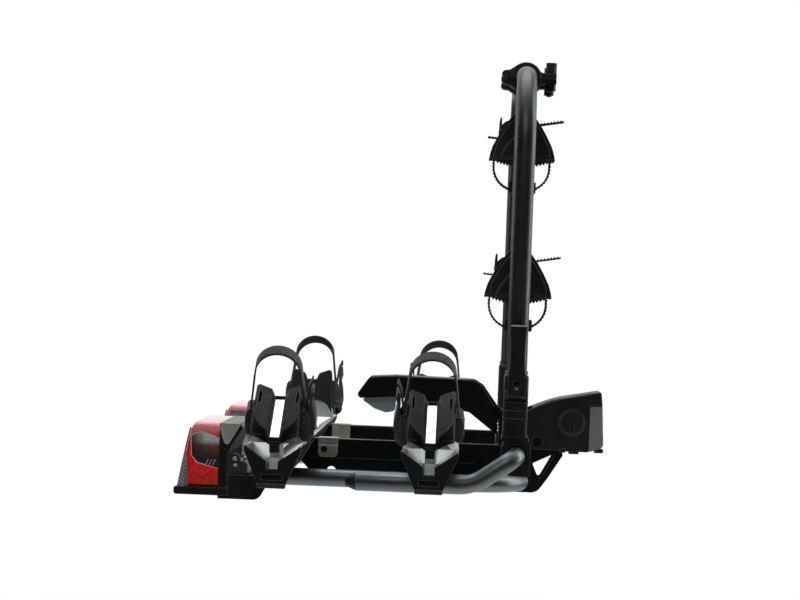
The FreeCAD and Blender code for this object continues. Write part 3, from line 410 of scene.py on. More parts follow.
class Solid:
    """Collects closed shapes into one mesh."""

    def __init__(self):
        self.mesh = bmesh.new()

    def skin(self, rings):
        """Joins rings of points, each ring the same length, into a tube with closed ends."""
        loops = [[self.mesh.verts.new(p) for p in ring] for ring in rings]
        count = len(loops[0])
        for near, far in zip(loops, loops[1:]):
            for i in range(count):
                j = (i + 1) % count
                self.mesh.faces.new((near[i], near[j], far[j], far[i]))
        self.mesh.faces.new(list(reversed(loops[0])))
        self.mesh.faces.new(loops[-1])
        return self

    def sheet(self, rows, is_hole=lambda row, column: False):
        """Joins rows of points, each row the same length, into an open sheet."""
        grid = [[self.mesh.verts.new(p) for p in row] for row in rows]
        for r, (near, far) in enumerate(zip(grid, grid[1:])):
            for c in range(len(near) - 1):
                if not is_hole(r, c):
                    self.mesh.faces.new((near[c], near[c + 1], far[c + 1], far[c]))
        return self

    def prism(self, outline, low, high):
        """Closed (x, z) outline run along Y."""
        return self.skin([[(p[0], y, p[1]) for p in outline] for y in (low, high)])

    def plate(self, corners, low, high):
        """Plate with rounded corners, (x, z, corner radius), run along Y."""
        return self.prism(rounded(corners), low, high)

    def slab(self, x, y, z):
        return self.prism([(x[0], z[0]), (x[1], z[0]), (x[1], z[1]), (x[0], z[1])], *y)

    def rod(self, start, end, radius, end_radius=None, segments=28):
        start, end = Vector(start), Vector(end)
        turn = (end - start).to_track_quat("Z", "Y")
        rings = []
        for centre, r in ((start, radius), (end, radius if end_radius is None else end_radius)):
            rings.append([centre + turn @ point.to_3d() for point in circle(r, segments)])
        return self.skin(rings)

    def disc_y(self, x, z, radius, low, high, segments=40):
        return self.prism(circle(radius, segments, (x, z)), low, high)

    def ribbon(self, path, low, high, thickness):
        """Band along a path of (x, z) points, from Y low to high. thickness(share) is its height outwards."""
        rings = []
        last = len(path) - 1
        ridge = self.mesh.verts.layers.float.get(RIDGE) or self.mesh.verts.layers.float.new(RIDGE)
        heights = [thickness(i / last) for i in range(last + 1)]
        lowest, highest = min(heights), max(heights)
        before = len(self.mesh.verts)
        for i, point in enumerate(path):
            ahead = path[min(i + 1, last)] - path[max(i - 1, 0)]
            out = Vector((-ahead.y, ahead.x)).normalized() * heights[i]
            top = point + out
            rings.append([(point.x, low, point.y), (point.x, high, point.y), (top.x, high, top.y),
                          (top.x, low, top.y)])
        self.skin(rings)
        if highest > lowest:
            self.mesh.verts.ensure_lookup_table()
            for i, height in enumerate(heights):
                for corner in (2, 3):
                    vert = self.mesh.verts[before + 4 * i + corner]
                    vert[ridge] = (height - lowest) / (highest - lowest)
        return self

    def cable(self, path, radius, segments=12):
        """Round cable or wire along 3-D points."""
        rings = []
        last = len(path) - 1
        for i, point in enumerate(path):
            ahead = Vector(path[min(i + 1, last)]) - Vector(path[max(i - 1, 0)])
            turn = ahead.to_track_quat("Z", "Y")
            rings.append([Vector(point) + turn @ corner.to_3d() for corner in circle(radius, segments)])
        return self.skin(rings)


def piece(solid, name, body, slot, place=None, edge=0.5, segments=2, thick=0.0, stands_for=()):
    """Turns a Solid into an object in metres that rides on a body."""
    mesh = solid.mesh
    placing = place or Matrix.Identity(4)
    bmesh.ops.remove_doubles(mesh, verts=mesh.verts, dist=0.001)
    bmesh.ops.recalc_face_normals(mesh, faces=mesh.faces)
    bmesh.ops.transform(mesh, matrix=Matrix.Scale(MM, 4) @ placing, verts=mesh.verts)
    if placing.determinant() < 0:
        bmesh.ops.reverse_faces(mesh, faces=mesh.faces)
    for face in mesh.faces:
        face.smooth = True
    data = bpy.data.meshes.new(name)
    mesh.to_mesh(data)
    mesh.free()
    data.materials.append(finish[slot])
    obj = bpy.data.objects.new(name, data)
    bpy.context.scene.collection.objects.link(obj)
    if thick:
        shell = obj.modifiers.new("thickness", "SOLIDIFY")
        shell.thickness = thick * MM
        shell.offset = 0
    soften(obj, edge * MM, segments)
    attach(obj, body)
    if stands_for:
        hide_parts(*stands_for)
    return obj


def mirrored(prefix, side, usual_body):
    """Returns a function that adds pieces drawn on the left side (+Y), mirrored for the right side."""
    place = MIRROR_Y if side == "right" else None

    def add(solid, part, slot, edge=0.5, body=usual_body, stands_for=()):
        shown_for = stands_for if side == "right" else ()
        return piece(solid, prefix + part, body, slot, place, edge=edge, stands_for=shown_for)
    return add


def soften(obj, width, segments):
    """Rounds the sharp edges and keeps flat faces flat."""
    bevel = obj.modifiers.new("soft_edges", "BEVEL")
    bevel.width = width
    bevel.segments = segments
    bevel.limit_method = "ANGLE"
    bevel.angle_limit = BEVEL_ANGLE
    bevel.use_clamp_overlap = True
    bevel.harden_normals = True


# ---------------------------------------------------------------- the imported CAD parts


def dress(obj, material):
    """Gives a CAD node its material, a weld and softened edges."""
    obj.data.materials.clear()
    obj.data.materials.append(material)
    weld = obj.modifiers.new("weld", "WELD")
    weld.merge_threshold = 0.005 * MM
    soften(obj, BEVEL_WIDTH, 2)


for entry in frame["record"]["subparts"]:
    # the lower frame tubes take a lighter copy of the tube paint: painted light for the brighter light they
    # catch
    takes_lit_paint = entry["node"] in ("main_frame_tube", "bow_supports")
    dress(nodes[entry["node"]], finish["lit_tube_paint" if takes_lit_paint else entry["material_slot"]])

# ---------------------------------------------------------------- wheel holders

SLOPE = math.radians(27.2)
CRADLE_TOE = (0, -500, 14.5)           # where the slope starts, at the tray's right end
CRADLE_LENGTH = 117.0
STRAP_MIDDLE = 74.5
STRAP_HALF = 12.5
SLOT_HALF = 6.5
SLOT_START, SLOT_STOP = 0.015, 0.98    # shares of the trough's length
FLOOR_HALF = 8.5
KINK_HALF = 13.0
KINK_HEIGHT = 11.6
WING_HALF = 30.5
WING_HEIGHT = 18.8
WING_SLOT = (25.0, 28.4)
TOOTH_PITCH = 3.0
TOOTH_HEIGHT = 1.7


def row_place(row, side):
    """Matrix for holder pieces that are drawn level, at the right end of the rear tray."""
    low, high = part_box(row + "_wheel_tray")
    matrix = Matrix.Translation(((low.x + high.x) / 2 / MM, 0, 0))
    if row == "front":
        matrix = matrix @ MIRROR_X
    if side == "left":
        matrix = matrix @ MIRROR_Y
    return matrix


def holder_place(row, side):
    """Matrix for holder pieces drawn in the cradle's sloping frame, y up the slope."""
    slope = Matrix.Translation(CRADLE_TOE) @ Matrix.Rotation(SLOPE, 4, "X")
    return row_place(row, side) @ slope


def cradle_section(x):
    """Height of the trough at a distance x from its middle: flat floor, steep step, gently rising wing."""
    a = abs(x)
    if a <= FLOOR_HALF:
        return 0.0
    if a <= KINK_HALF:
        return KINK_HEIGHT * (a - FLOOR_HALF) / (KINK_HALF - FLOOR_HALF)
    return KINK_HEIGHT + (WING_HEIGHT - KINK_HEIGHT) * (a - KINK_HALF) / (WING_HALF - KINK_HALF)


def cradle_start(x):
    """Where the trough begins along the slope: the wings are cut back in a curve."""
    a = abs(x)
    if a <= KINK_HALF:
        return 4.0 * max(0.0, a - FLOOR_HALF) / (KINK_HALF - FLOOR_HALF)
    return 4.0 + 24.0 * ((a - KINK_HALF) / (WING_HALF - KINK_HALF)) ** 1.6


def cradle_trough():
    """Open trough surface with a long slot over the inlay and a narrow slot in each wing."""
    half = [SLOT_HALF, 7.4, FLOOR_HALF, 10.5, KINK_HALF, 15, 19, 22.5, *WING_SLOT, 29.6, WING_HALF]
    across = [-x for x in reversed(half)] + half
    steps = [0, SLOT_START, 0.1, 0.2, 0.3, 0.4, 0.5, 0.6, 0.7, 0.8, 0.9, SLOT_STOP, 1]
    stop = CRADLE_LENGTH + 1

    def is_hole(row, column):
        middle = abs(across[column] + across[column + 1]) / 2
        in_slot = middle < 0.1 and SLOT_START <= steps[row] < SLOT_STOP
        in_wing_slot = WING_SLOT[0] < middle < WING_SLOT[1] and 0.5 <= steps[row] < 0.8
        return in_slot or in_wing_slot

    rows = [[(x, cradle_start(x) + (stop - cradle_start(x)) * v, cradle_section(x)) for x in across]
            for v in steps]
    return Solid().sheet(rows, is_hole)


def cradle_apron():
    """Skirt under the wings' curved edge; its lower edge stays clear of the tray's flanks."""
    upper = []
    lower = []
    half = [FLOOR_HALF, KINK_HALF, 17, 21, 25, 29, WING_HALF]
    for x in [-a for a in reversed(half)] + half:
        upper.append((x, cradle_start(x) + 0.5, cradle_section(x) - 0.5))
        reach = max(0.0, (abs(x) - FLOOR_HALF) / (WING_HALF - FLOOR_HALF))
        lower.append((x * (1 + 0.1 * reach), -1.0 + 3.0 * reach, -7.5 + 11.5 * reach))
    return Solid().sheet([upper, lower])


def cradle_walls():
    """Outer side walls that join the wings to the anchor and the buckle."""
    solid = Solid()
    for side in (-1, 1):
        rows = []
        for t, drop in ((2, 3.0), (12, 0.0), (28, -3.0), (60, -4.0), (100, -4.0), (CRADLE_LENGTH, 0.0)):
            top = WING_HEIGHT if t >= 28 else 4 + (WING_HEIGHT - 4) * t / 28
            rows.append([(side * (WING_HALF + 0.4), t, top), (side * (WING_HALF + 2.2), t, top - 3),
                         (side * (WING_HALF - 2), t, 2 + drop), (side * (FLOOR_HALF + 6), t, drop)])
        solid.sheet(rows)
    return solid


def strap_path():
    """Inner line of the strap in the holder's local frame, from the anchor over to the buckle."""
    radius = 30.5
    centre_z = 67.0
    path = [Vector((-37, -14 + 2.2 * i)) for i in range(0, 11)]
    path += [Vector((-37 + 6 * i / 24, 8.5 + (centre_z - 8.5) * i / 24)) for i in range(0, 24)]
    path += arc((0, centre_z), radius, math.pi, 0, 64)
    path += [Vector((radius + 9 * i / 30, centre_z - (centre_z + 4) * i / 30)) for i in range(1, 31)]
    return path


def even_path(path, spacing):
    """The same path resampled at an even spacing."""
    lengths = [0.0]
    for a, b in zip(path, path[1:]):
        lengths.append(lengths[-1] + (b - a).length)
    count = max(2, round(lengths[-1] / spacing))
    points = []
    index = 0
    for i in range(count + 1):
        goal = lengths[-1] * i / count
        while index < len(path) - 2 and lengths[index + 1] < goal:
            index += 1
        span = max(1e-9, lengths[index + 1] - lengths[index])
        points.append(path[index].lerp(path[index + 1], min(1.0, (goal - lengths[index]) / span)))
    return points


def toothed(base, from_share, to_share, count, height=TOOTH_HEIGHT):
    """Thickness of a ratchet strap: four samples a tooth, with a slow rise and a steep fall."""
    def thickness(share):
        if not from_share <= share <= to_share:
            return base
        step = round(share * count) % 4
        return base + height * (0.1, 0.55, 1.0, 0.0)[step]
    return thickness


def wheel_strap():
    """Ratchet strap between two smooth rims, with its loose tail."""
    path = even_path(strap_path(), TOOTH_PITCH / 4)
    last = len(path) - 1
    solid = Solid()
    solid.ribbon(path, STRAP_MIDDLE - STRAP_HALF + 1.6, STRAP_MIDDLE + STRAP_HALF - 1.6,
                 toothed(1.9, 0.42, 1.0, last))
    for low in (STRAP_MIDDLE - STRAP_HALF, STRAP_MIDDLE + STRAP_HALF - 1.8):
        solid.ribbon(path[::3], low, low + 1.8, lambda share: 2.2)
    tail = [Vector((42.6, -8)), Vector((42.2, 20)), Vector((45, 44)), Vector((50, 56))]
    tail = even_path(tail, TOOTH_PITCH / 4)
    return solid.ribbon(tail, STRAP_MIDDLE - 8, STRAP_MIDDLE + 8, toothed(1.6, 0, 1, len(tail) - 1, 0.9))


def buckle_base():
    """Ratchet body beside the cradle: ears, cross pins and a grooved back."""
    low, high = STRAP_MIDDLE - 16.5, STRAP_MIDDLE + 16.5
    solid = Solid()
    back = flowing([(22, -4), (30, -22), (35, -36), (41, -37), (42, -24), (41, -6), (42.2, 11), (38, 13.5),
                    (31, 9)])
    solid.prism(back, low, high)
    ear = flowing([(39, -35), (47, -35.5), (51.5, -28), (50.5, -19), (47, -10), (45, 4), (42, 8), (39, 0)])
    for near in (low, high - 3):
        solid.prism(ear, near, near + 3)
    solid.rod((46.5, low - 1.4, -28), (46.5, high + 1.4, -28), 3.0)
    solid.rod((45, low - 0.8, -2), (45, high + 0.8, -2), 2.0)
    for step in range(3):
        z = -14 + 8 * step
        solid.rod((37, low - 0.6, z), (37, low + 2, z), 1.4, segments=14)
    return solid


def strap_anchor():
    low, high = STRAP_MIDDLE - 14.5, STRAP_MIDDLE + 14.5
    solid = Solid()
    outline = flowing([(-24, -4), (-30, -24), (-38, -31), (-44.5, -27), (-46, -8), (-43.5, 7), (-38, 10),
                       (-30, 8)])
    solid.prism(outline, low, high)
    solid.rod((-41.5, low - 1.5, 3), (-41.5, high + 1.5, 3), 3.2)
    for z in (-20, -12, -4):
        solid.slab((-46.6, -44), (low + 4, high - 4), (z - 1.2, z + 1.2))
    return solid


def buckle_lever():
    """Curved ratchet lever with a thumb tab."""
    low, high = STRAP_MIDDLE - 12.8, STRAP_MIDDLE + 12.8
    solid = Solid()
    outline = flowing([(43.4, -29), (46.5, -32), (50.2, -28), (53, -16), (53.6, -4), (51.2, 10), (48.6, 24),
                       (51, 38), (48.4, 41), (45.2, 30), (44.6, 12), (46, -4), (45.4, -18)])
    solid.prism(outline, low, high)
    for z in (-14, -8, -2, 4):
        x = 53 - abs(z + 8) * 0.12
        solid.rod((x, low + 4, z), (x, high - 4, z), 0.9, segments=12)
    return solid


def lip_box():
    """Small catch box in the middle of the apron, in the holder's local frame."""
    solid = Solid()
    solid.plate([(-9.5, -8.5, 1), (9.5, -8.5, 1), (9.5, -3.2, 1), (-9.5, -3.2, 1)], -2.5, 8)
    return solid.plate([(-6.8, -24, 1.2), (6.8, -24, 1.2), (6.8, -7, 1), (-6.8, -7, 1)], 1.0, 12)


def saddle_arch(half, crown, floor):
    """Half-round arch standing on two feet, as (x, z) points."""
    steps = 20
    shares = (-1 + 2 * i / steps for i in range(steps + 1))
    return [(half * share, floor + crown * (1 - abs(share) ** 2.6)) for share in shares]


def holder_foot():
    """Light grey saddle astride the tray below the cradle's inner end, on a runner in the slot."""
    solid = Solid()
    solid.slab((-7.3, 7.3), (-486, -400), (-29, -14))
    solid.slab((-7.3, 7.3), (-470, -400), (-15, 12))
    stations = ((-448, 14, 30), (-430, 26, 36), (-404, 39, 40.5), (-392, 38, 39.5), (-386, 33, 37))
    return solid.skin([[(x, y, z) for x, z in saddle_arch(half, crown, 5.2)] for y, crown, half in stations])


def saddle_lobe():
    """Raised toe at each side of the saddle's inner face."""
    solid = Solid()
    for side in (-1, 1):
        lobe = [(side * (29 + 10.5 * math.cos(a)), 5.2 + 22 * math.sin(a))
                for a in (math.pi * i / 14 for i in range(15))]
        solid.prism(lobe, -392, -383.5)
    return solid


def inner_end_plate():
    """Wall across the cradle's inner end; its lower edge arches over the saddle."""
    half = [(FLOOR_HALF, 0), (KINK_HALF, KINK_HEIGHT), (WING_HALF, WING_HEIGHT), (33, 15.5), (37, -58),
            (35.5, -60), (33, -54), (28, -46), (19, -40), (9, -38)]
    outline = [(-x, z) for x, z in reversed(half)] + half
    return Solid().prism(outline, CRADLE_LENGTH - 1.5, CRADLE_LENGTH + 1.2)


def make_holder(row, side):
    body = f"{row}_{side}_holder"
    sloping = holder_place(row, side)

    def add(solid, part, slot, edge=0.5, place=sloping, **more):
        return piece(solid, body + "_" + part, body, slot, place, edge=edge, **more)

    add(cradle_trough(), "trough", "matt_plastic", thick=2.8, stands_for=[body + "_cradle"])
    add(buckle_base(), "buckle_base", "black_plastic")
    add(strap_anchor(), "strap_anchor", "black_plastic")
    add(cradle_apron(), "apron", "matt_plastic", 0.4, thick=2.4)
    add(cradle_walls(), "walls", "matt_plastic", 0.4, thick=2.0)
    add(lip_box(), "lip", "black_plastic")
    inlay = Solid().slab((-7.2, 7.2), (0.5, 116.5), (-2.9, -1.6))
    add(inlay, "inlay", "aluminium", 0.2, segments=1)
    add(inner_end_plate(), "end_plate", "matt_plastic", 0.6)
    level = row_place(row, side)
    add(holder_foot(), "saddle", "pale_plastic", 0.8, level, stands_for=[body + "_foot"])
    add(saddle_lobe(), "saddle_toes", "pale_plastic", 1.0, level)
    add(wheel_strap(), "ratchet_strap", "rubber", 0.15, segments=1, stands_for=[body + "_strap"])
    piece(buckle_lever(), body + "_buckle_lever", f"{row}_{side}_buckle", "black_plastic", sloping,
          stands_for=[body + "_buckle"])


for tray_row in ("rear", "front"):
    for each_side in SIDES:
        make_holder(tray_row, each_side)

# ---------------------------------------------------------------- frame holders on the bow

BOW_X = -93.0
BOW_TOP_Z = 555.0
CLAMP_BOLT_X = -55.0
HEAD_HALF_BASE = 51.0
HEAD_HEIGHT = 71.5
HEAD_HALF_DEPTH = 23.0
HEAD_STRAP_HALF = 41.5
HEAD_STRAP_DEPTH = 44.0
HEAD_TOOTH_PITCH = 5.0


def head_outline(inset):
    """Triangular side outline of a holder's head, with bowed flanks; x from its middle, z from its base."""
    base = HEAD_HALF_BASE - inset * 1.35
    top = 15.0 - inset * 0.75
    flank = [(base, inset, 1.5), (base - 1.5, 9 + inset * 0.5, 0), (46 - inset, 21, 0), (37.5 - inset, 38, 0),
             (28 - inset, 54, 0), (top, HEAD_HEIGHT - inset, 4)]
    return rounded([(-p[0],) + p[1:] for p in flank] + list(reversed(flank)))


def holder_head():
    solid = Solid()
    solid.prism(head_outline(0), -HEAD_HALF_DEPTH + 2.5, HEAD_HALF_DEPTH - 2.5)
    for side in (-1, 1):
        face = side * (HEAD_HALF_DEPTH - 2.5)
        ends = sorted((face - side, face + side * 2.4))
        solid.prism(head_outline(5.5), *ends)
        rib = flowing([(-8, 40), (-16, 33), (-25, 22), (-31, 11), (-35, 2)], 6, closed=False)
        solid.ribbon(rib, *sorted((face, face + side * 4.2)), lambda share: 2.2)
    brim = [(-HEAD_HALF_BASE, 0, 1), (-HEAD_HALF_BASE + 0.6, 3.6, 1), (HEAD_HALF_BASE - 0.6, 3.6, 1),
            (HEAD_HALF_BASE, 0, 1)]
    return solid.plate(brim, -HEAD_HALF_DEPTH, HEAD_HALF_DEPTH)


def buckle_mount():
    """Cheeks on the head's rear flank that hold the strap's ratchet."""
    solid = Solid()
    cheek = flowing([(-24, 40), (-32, 37), (-37, 41), (-36.5, 49), (-31, 56), (-24, 61), (-18, 57)])
    for y in (-16.5, 13.3):
        solid.prism(cheek, y, y + 3.2)
    return solid.rod((-34, -17.4, 44), (-34, 17.4, 44), 2.4)


def head_lever():
    outline = flowing([(-31.6, 42.4), (-34.2, 41), (-36.4, 43.5), (-36.6, 54), (-35.6, 64), (-33.0, 66),
                       (-32.6, 58), (-32.4, 50)])
    return Solid().prism(outline, -12.8, 12.8)


def rubber_rest():
    """Bowed rest with cross teeth on its underside."""
    teeth = 17
    outline = [(44, 1.5), (-44, 1.5)]
    for i in range(teeth * 4):
        x = -43 + 86 * i / (teeth * 4 - 1)
        bow = -9.4 * (1 - (x / 46) ** 2)
        outline.append((x, bow + (0.0 if i % 4 < 2 else 2.6)))
    return Solid().prism(outline, -HEAD_HALF_DEPTH + 2, HEAD_HALF_DEPTH - 2)


def head_strap():
    """Ratchet loop below the head, the tail past the ratchet and the stub on the other side."""
    half = HEAD_STRAP_HALF
    low = -HEAD_STRAP_DEPTH
    corner = 34.0
    path = [Vector((half, -0.2 - 0.8 * i)) for i in range(0, 12)]
    path += arc((half - corner, low + corner), corner, 0, -math.pi / 2, 30)
    path += arc((corner - half, low + corner), corner, -math.pi / 2, -math.pi, 30)
    path += [Vector((-half, low + corner + 0.8 * i)) for i in range(1, 13)]
    path = even_path(path, HEAD_TOOTH_PITCH / 4)
    solid = Solid()
    solid.ribbon(path, -9, 9, toothed(2.7, 0.0, 1, len(path) - 1, 1.3))
    tail = even_path([Vector((22, 54.5)), Vector((40, 57.5)), Vector((63, 61.5))], HEAD_TOOTH_PITCH / 4)
    solid.ribbon(tail, -9, 9, toothed(2.4, 0, 1, len(tail) - 1, 2.2))
    stub = even_path([Vector((-53.5, 34.0)), Vector((-36, 32.5))], HEAD_TOOTH_PITCH / 4)
    return solid.ribbon(stub, -9, 9, toothed(2.0, 0, 1, len(stub) - 1, 1.6))


def wear_pad():
    low = -HEAD_STRAP_DEPTH
    pad = [(-19, low - 6, 2), (23, low - 6, 2), (23, low + 11, 1.5), (16, low + 13, 2), (-12, low + 13, 2),
           (-19, low + 11, 1.5)]
    solid = Solid().plate(pad, -13, 13)
    for x in (-12, -5, 2, 9, 16):
        solid.slab((x - 1.3, x + 1.3), (-13.8, 13.8), (low - 4.5, low + 10))
    return solid


def clamp_ring(upper):
    """Outer dress of one clamp half: ribs round the ring."""
    solid = Solid()
    start, stop = (math.radians(a) for a in ((4, 176) if upper else (184, 356)))
    rib = arc((0, 0), 20.5, start, stop, 24) + arc((0, 0), 23.4, stop, start, 24)
    for y in (-15.5, -0.8, 13.9):
        solid.prism(rib, y, y + 1.6)
    return solid


def clamp_cheek(upper):
    """Hinge side of one clamp half: a lobe that runs smoothly into the ring, drawn round the bar's middle."""
    up = 1 if upper else -1
    lobe = flowing([(-11, 20.5), (-19, 15.5), (-25, 11.6), (-32, 10.6), (-36.3, 7), (-35.5, 2.4), (-29, 0.9),
                    (-22, 0.9), (-20.8, 6), (-17, 12)])
    fillet = flowing([(13, 18.5), (20, 11.5), (25, 8.6), (32, 8.2), (32, 1.2), (22, 1.2), (18, 10)])
    solid = Solid()
    for outline, half in ((lobe, 15.0), (fillet, 10.5)):
        solid.prism([(p.x, up * p.y) for p in outline], -half, half)
    return solid


def knob_grip():
    """Star grip of the clamp bolt, in its own frame with z along the bolt."""
    lobes = 8
    count = lobes * 8
    rings = []
    for z, size in ((8.4, 0.86), (9.2, 0.94), (13, 0.98), (23.6, 1.04), (24.5, 0.94)):
        ring = []
        for i in range(count):
            a = 2 * math.pi * i / count
            r = size * (7.5 + 0.5 * math.cos(lobes * a))
            ring.append((r * math.cos(a), r * math.sin(a), z))
        rings.append(ring)
    return Solid().skin(rings)


def make_frame_holder(name):
    low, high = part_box(name + "_arm_head")
    middle_y = (low.y + high.y) / 2 / MM
    at_head = Matrix.Translation((BOW_X, middle_y, low.z / MM))
    at_ring = Matrix.Translation((BOW_X, middle_y, BOW_TOP_Z))
    at_bolt = Matrix.Translation((CLAMP_BOLT_X, middle_y, BOW_TOP_Z))

    def add(solid, part, body, slot="black_plastic", place=at_head, edge=0.5, **more):
        return piece(solid, name + "_arm_" + part, name + body, slot, place, edge=edge, **more)

    add(holder_head(), "cradle", "_head", stands_for=[name + "_arm_head"])
    add(buckle_mount(), "buckle_mount", "_head")
    add(rubber_rest(), "rest", "_head", "rubber", edge=0.2, segments=1, stands_for=[name + "_arm_strap"])
    add(head_strap(), "ratchet_strap", "_head", "rubber", edge=0.15, segments=1)
    add(wear_pad(), "wear_pad", "_head", "rubber")
    add(head_lever(), "buckle_lever", "_buckle", stands_for=[name + "_arm_buckle"])
    for half, upper in (("cap", True), ("ring", False)):
        add(clamp_cheek(upper), half + "_cheek", "_arm", place=at_ring)
        add(clamp_ring(upper), half + "_ribs", "_arm", place=at_ring)
    add(knob_grip(), "grip", "_knob", place=at_bolt, edge=0.3)


for arm_name in ("short", "long"):
    make_frame_holder(arm_name)

# ---------------------------------------------------------------- tail lamps, drawn on the left side (+Y)

LAMP_INNER = 170.0
LAMP_OUTER = 406.0
LENS_LOW = -63.0
LENS_HIGH = 28.3
LENS_FRONT = -514.0
LENS_REAR_TOP = -554.0
LENS_LEAN = 18.0                       # how far the rear face's foot stands behind its top


def rear_face_x(z):
    """X of the lens's rear face at a height: a slightly bowed slope."""
    share = (LENS_HIGH - z) / (LENS_HIGH - LENS_LOW)
    return LENS_REAR_TOP - LENS_LEAN * share ** 0.85


def lens_outline(inset=0.0):
    steps = 12
    rear = [(rear_face_x(z) + inset, z) for z in
            (LENS_LOW + inset + (LENS_HIGH - 2 * inset - LENS_LOW) * i / steps for i in range(steps + 1))]
    rear[-1] = (rear[-1][0] + 3.5, rear[-1][1])
    return [(LENS_FRONT, LENS_LOW + inset)] + rear + [(LENS_FRONT, LENS_HIGH - inset)]


def window_outline(grow=0.0):
    """Smoked window in the lens's end face."""
    g = grow
    return rounded([(LENS_FRONT + g, -36.6 - g), (-544.5 - g, -28.6 - g, 4), (-553.0 - g, -19.0, 4),
                    (-554.2 - g, 10.0 + g, 5), (-539.0, 14.8 + g, 9), (LENS_FRONT + g, 5.4 + g)])


def clear_corner_outline():
    steps = 6
    rear = [(rear_face_x(z) - 0.5, z) for z in (-62.9 + 53.9 * i / steps for i in range(steps + 1))]
    return rear + [(-562.4, -15.0), (-560.2, -24.0), (-556.6, -62.9)]


def facet_outline():
    """Pale rubber-like shoulder of the housing."""
    return rounded([(-514, 28.6), (-483.2, 28.2, 1.5), (-501.0, -2.5, 3.5), (-506.5, -1.0, 3),
                    (-510.5, 8.0, 6), (-513.6, 20.0, 4)])


def rear_strip(y_range, z_range):
    """Panel on the lens's rear face that follows its bow."""
    steps = 6
    zs = [z_range[0] + (z_range[1] - z_range[0]) * i / steps for i in range(steps + 1)]
    outline = [(rear_face_x(z) - 1.2, z) for z in zs] + [(rear_face_x(z) + 2, z) for z in reversed(zs)]
    return Solid().prism(outline, *y_range)


def make_lamp(side):
    add = mirrored(side + "_lamp_", side, "platform")
    core = Solid()
    rounds = ((1.0, 5.0), (1.6, 3.2), (3.0, 2.0), (6.0, 1.0), (11.0, 0.4))
    stations = [(LAMP_INNER + depth, inset) for depth, inset in rounds]
    stations += [(LAMP_OUTER - depth - 0.6, inset) for depth, inset in reversed(rounds)]
    core.skin([[(x, y, z) for x, z in lens_outline(inset)] for y, inset in stations])
    add(core, "lens", "lamp_lens", 0.8, stands_for=["lamp_lenses"])
    rim = Solid().prism(window_outline(1.2), LAMP_OUTER - 3, LAMP_OUTER - 0.7)
    add(rim, "window_rim", "clear_plastic", 0.3)
    window = Solid().prism(window_outline(-0.2), LAMP_OUTER - 3, LAMP_OUTER - 0.3)
    add(window, "window", "window_glass", 0.4)
    # pale slanted strips over the window: painted glints
    for step in range(3):
        x = -519.5 - 5.0 * step
        glint = [(x, -24), (x + 1.1, -24), (x - 2.6, -32), (x - 3.7, -32)]
        add(Solid().prism(glint, LAMP_OUTER - 2, LAMP_OUTER), f"reflector_rib_{step}", "clear_plastic", 0.2)
    corner = Solid().prism(clear_corner_outline(), LAMP_OUTER - 4, LAMP_OUTER - 0.8)
    add(corner, "clear_corner", "grey_plastic", 0.3)
    ribs = Solid()
    for step in range(9):
        z = -58.5 + 5.2 * step
        rear = rear_face_x(z) - 0.2
        front = rear + 8.4 - 0.55 * step
        ribs.prism([(rear, z - 0.4), (rear, z + 1.4), (front, z - 5.2), (front, z - 6.8)],
                   LAMP_OUTER - 2, LAMP_OUTER - 0.2)
    add(ribs, "clear_ribs", "clear_plastic", 0.2)
    shoulder = Solid().prism(facet_outline(), LAMP_OUTER - 5, LAMP_OUTER + 0.4)
    add(shoulder, "shoulder", "mid_grey", 0.8)
    step_edge = flowing([(-511.5, 27), (-510.8, 16), (-508.0, 6), (-503.5, 1.2)], 6, closed=False)
    groove = Solid().ribbon(step_edge, LAMP_OUTER, LAMP_OUTER + 0.9, lambda share: 0.8)
    add(groove, "shoulder_bead", "clear_plastic", 0.1)
    # inner end: a clear reflector
    inner = [(-516, -60, 2), (-563, -60, 3), (-551, 20, 5), (-516, 21.5, 2)]
    add(Solid().plate(inner, LAMP_INNER + 0.2, LAMP_INNER + 3), "inner_reflector", "ribbed_clear", 0.4)
    # rear face: a raised lens panel for each light
    for part, slot, low, high, bottom, top in (("rear_reflector", "ribbed_red", 9, 78, -56, 20),
                                               ("rear_indicator", "amber_plastic", 84, 148, -16, 20),
                                               ("rear_clear_light", "ribbed_clear", 84, 148, -56, -21),
                                               ("rear_stop_light", "ribbed_red", 154, 228, -56, 20)):
        add(rear_strip((LAMP_INNER + low, LAMP_INNER + high), (bottom, top)), part, slot, 0.6)
    screws = Solid()
    for x, z, radius in ((-491.5, -22, 3.4), (-490.5, -31, 3.0), (-481.5, -23, 2.6)):
        screws.disc_y(x, z, radius, LAMP_OUTER - 12, LAMP_OUTER - 2, 24)
        screws.slab((x - radius, x + radius), (LAMP_OUTER - 8, LAMP_OUTER - 1), (z - 1, z + 1.4))
    add(screws, "fixings", "steel", 0.6, stands_for=["lamp_screws"])
    bracket = [(-500, -62, 1), (-500.3, -12, 3), (-488, -16, 5), (-474, -30, 4), (-474, -50, 3),
               (-482, -62, 4)]
    add(Solid().plate(bracket, LAMP_OUTER - 16, LAMP_OUTER - 6), "bracket", "grey_dark", 0.8)
    band = [(-514.4, -63.4), (-514.4, 0), (-509, -8, 5), (-502, -8, 3), (-501.2, -63.4)]
    add(Solid().plate(band, LAMP_OUTER - 3, LAMP_OUTER + 1.2), "housing_band", "lamp_body", 0.8)
    bump = Solid().rod((-511, LAMP_OUTER - 14, -74.5), (-511, LAMP_OUTER - 14, -79.4), 5.5, 3.5)
    add(bump, "rubber_stop", "rubber", 0.6)


for each_side in SIDES:
    make_lamp(each_side)

# ---------------------------------------------------------------- coupling, drawn on the left side (+Y)

COVER_HALF = 46.0
BOSS_CENTRE = (1.0, 32.0)


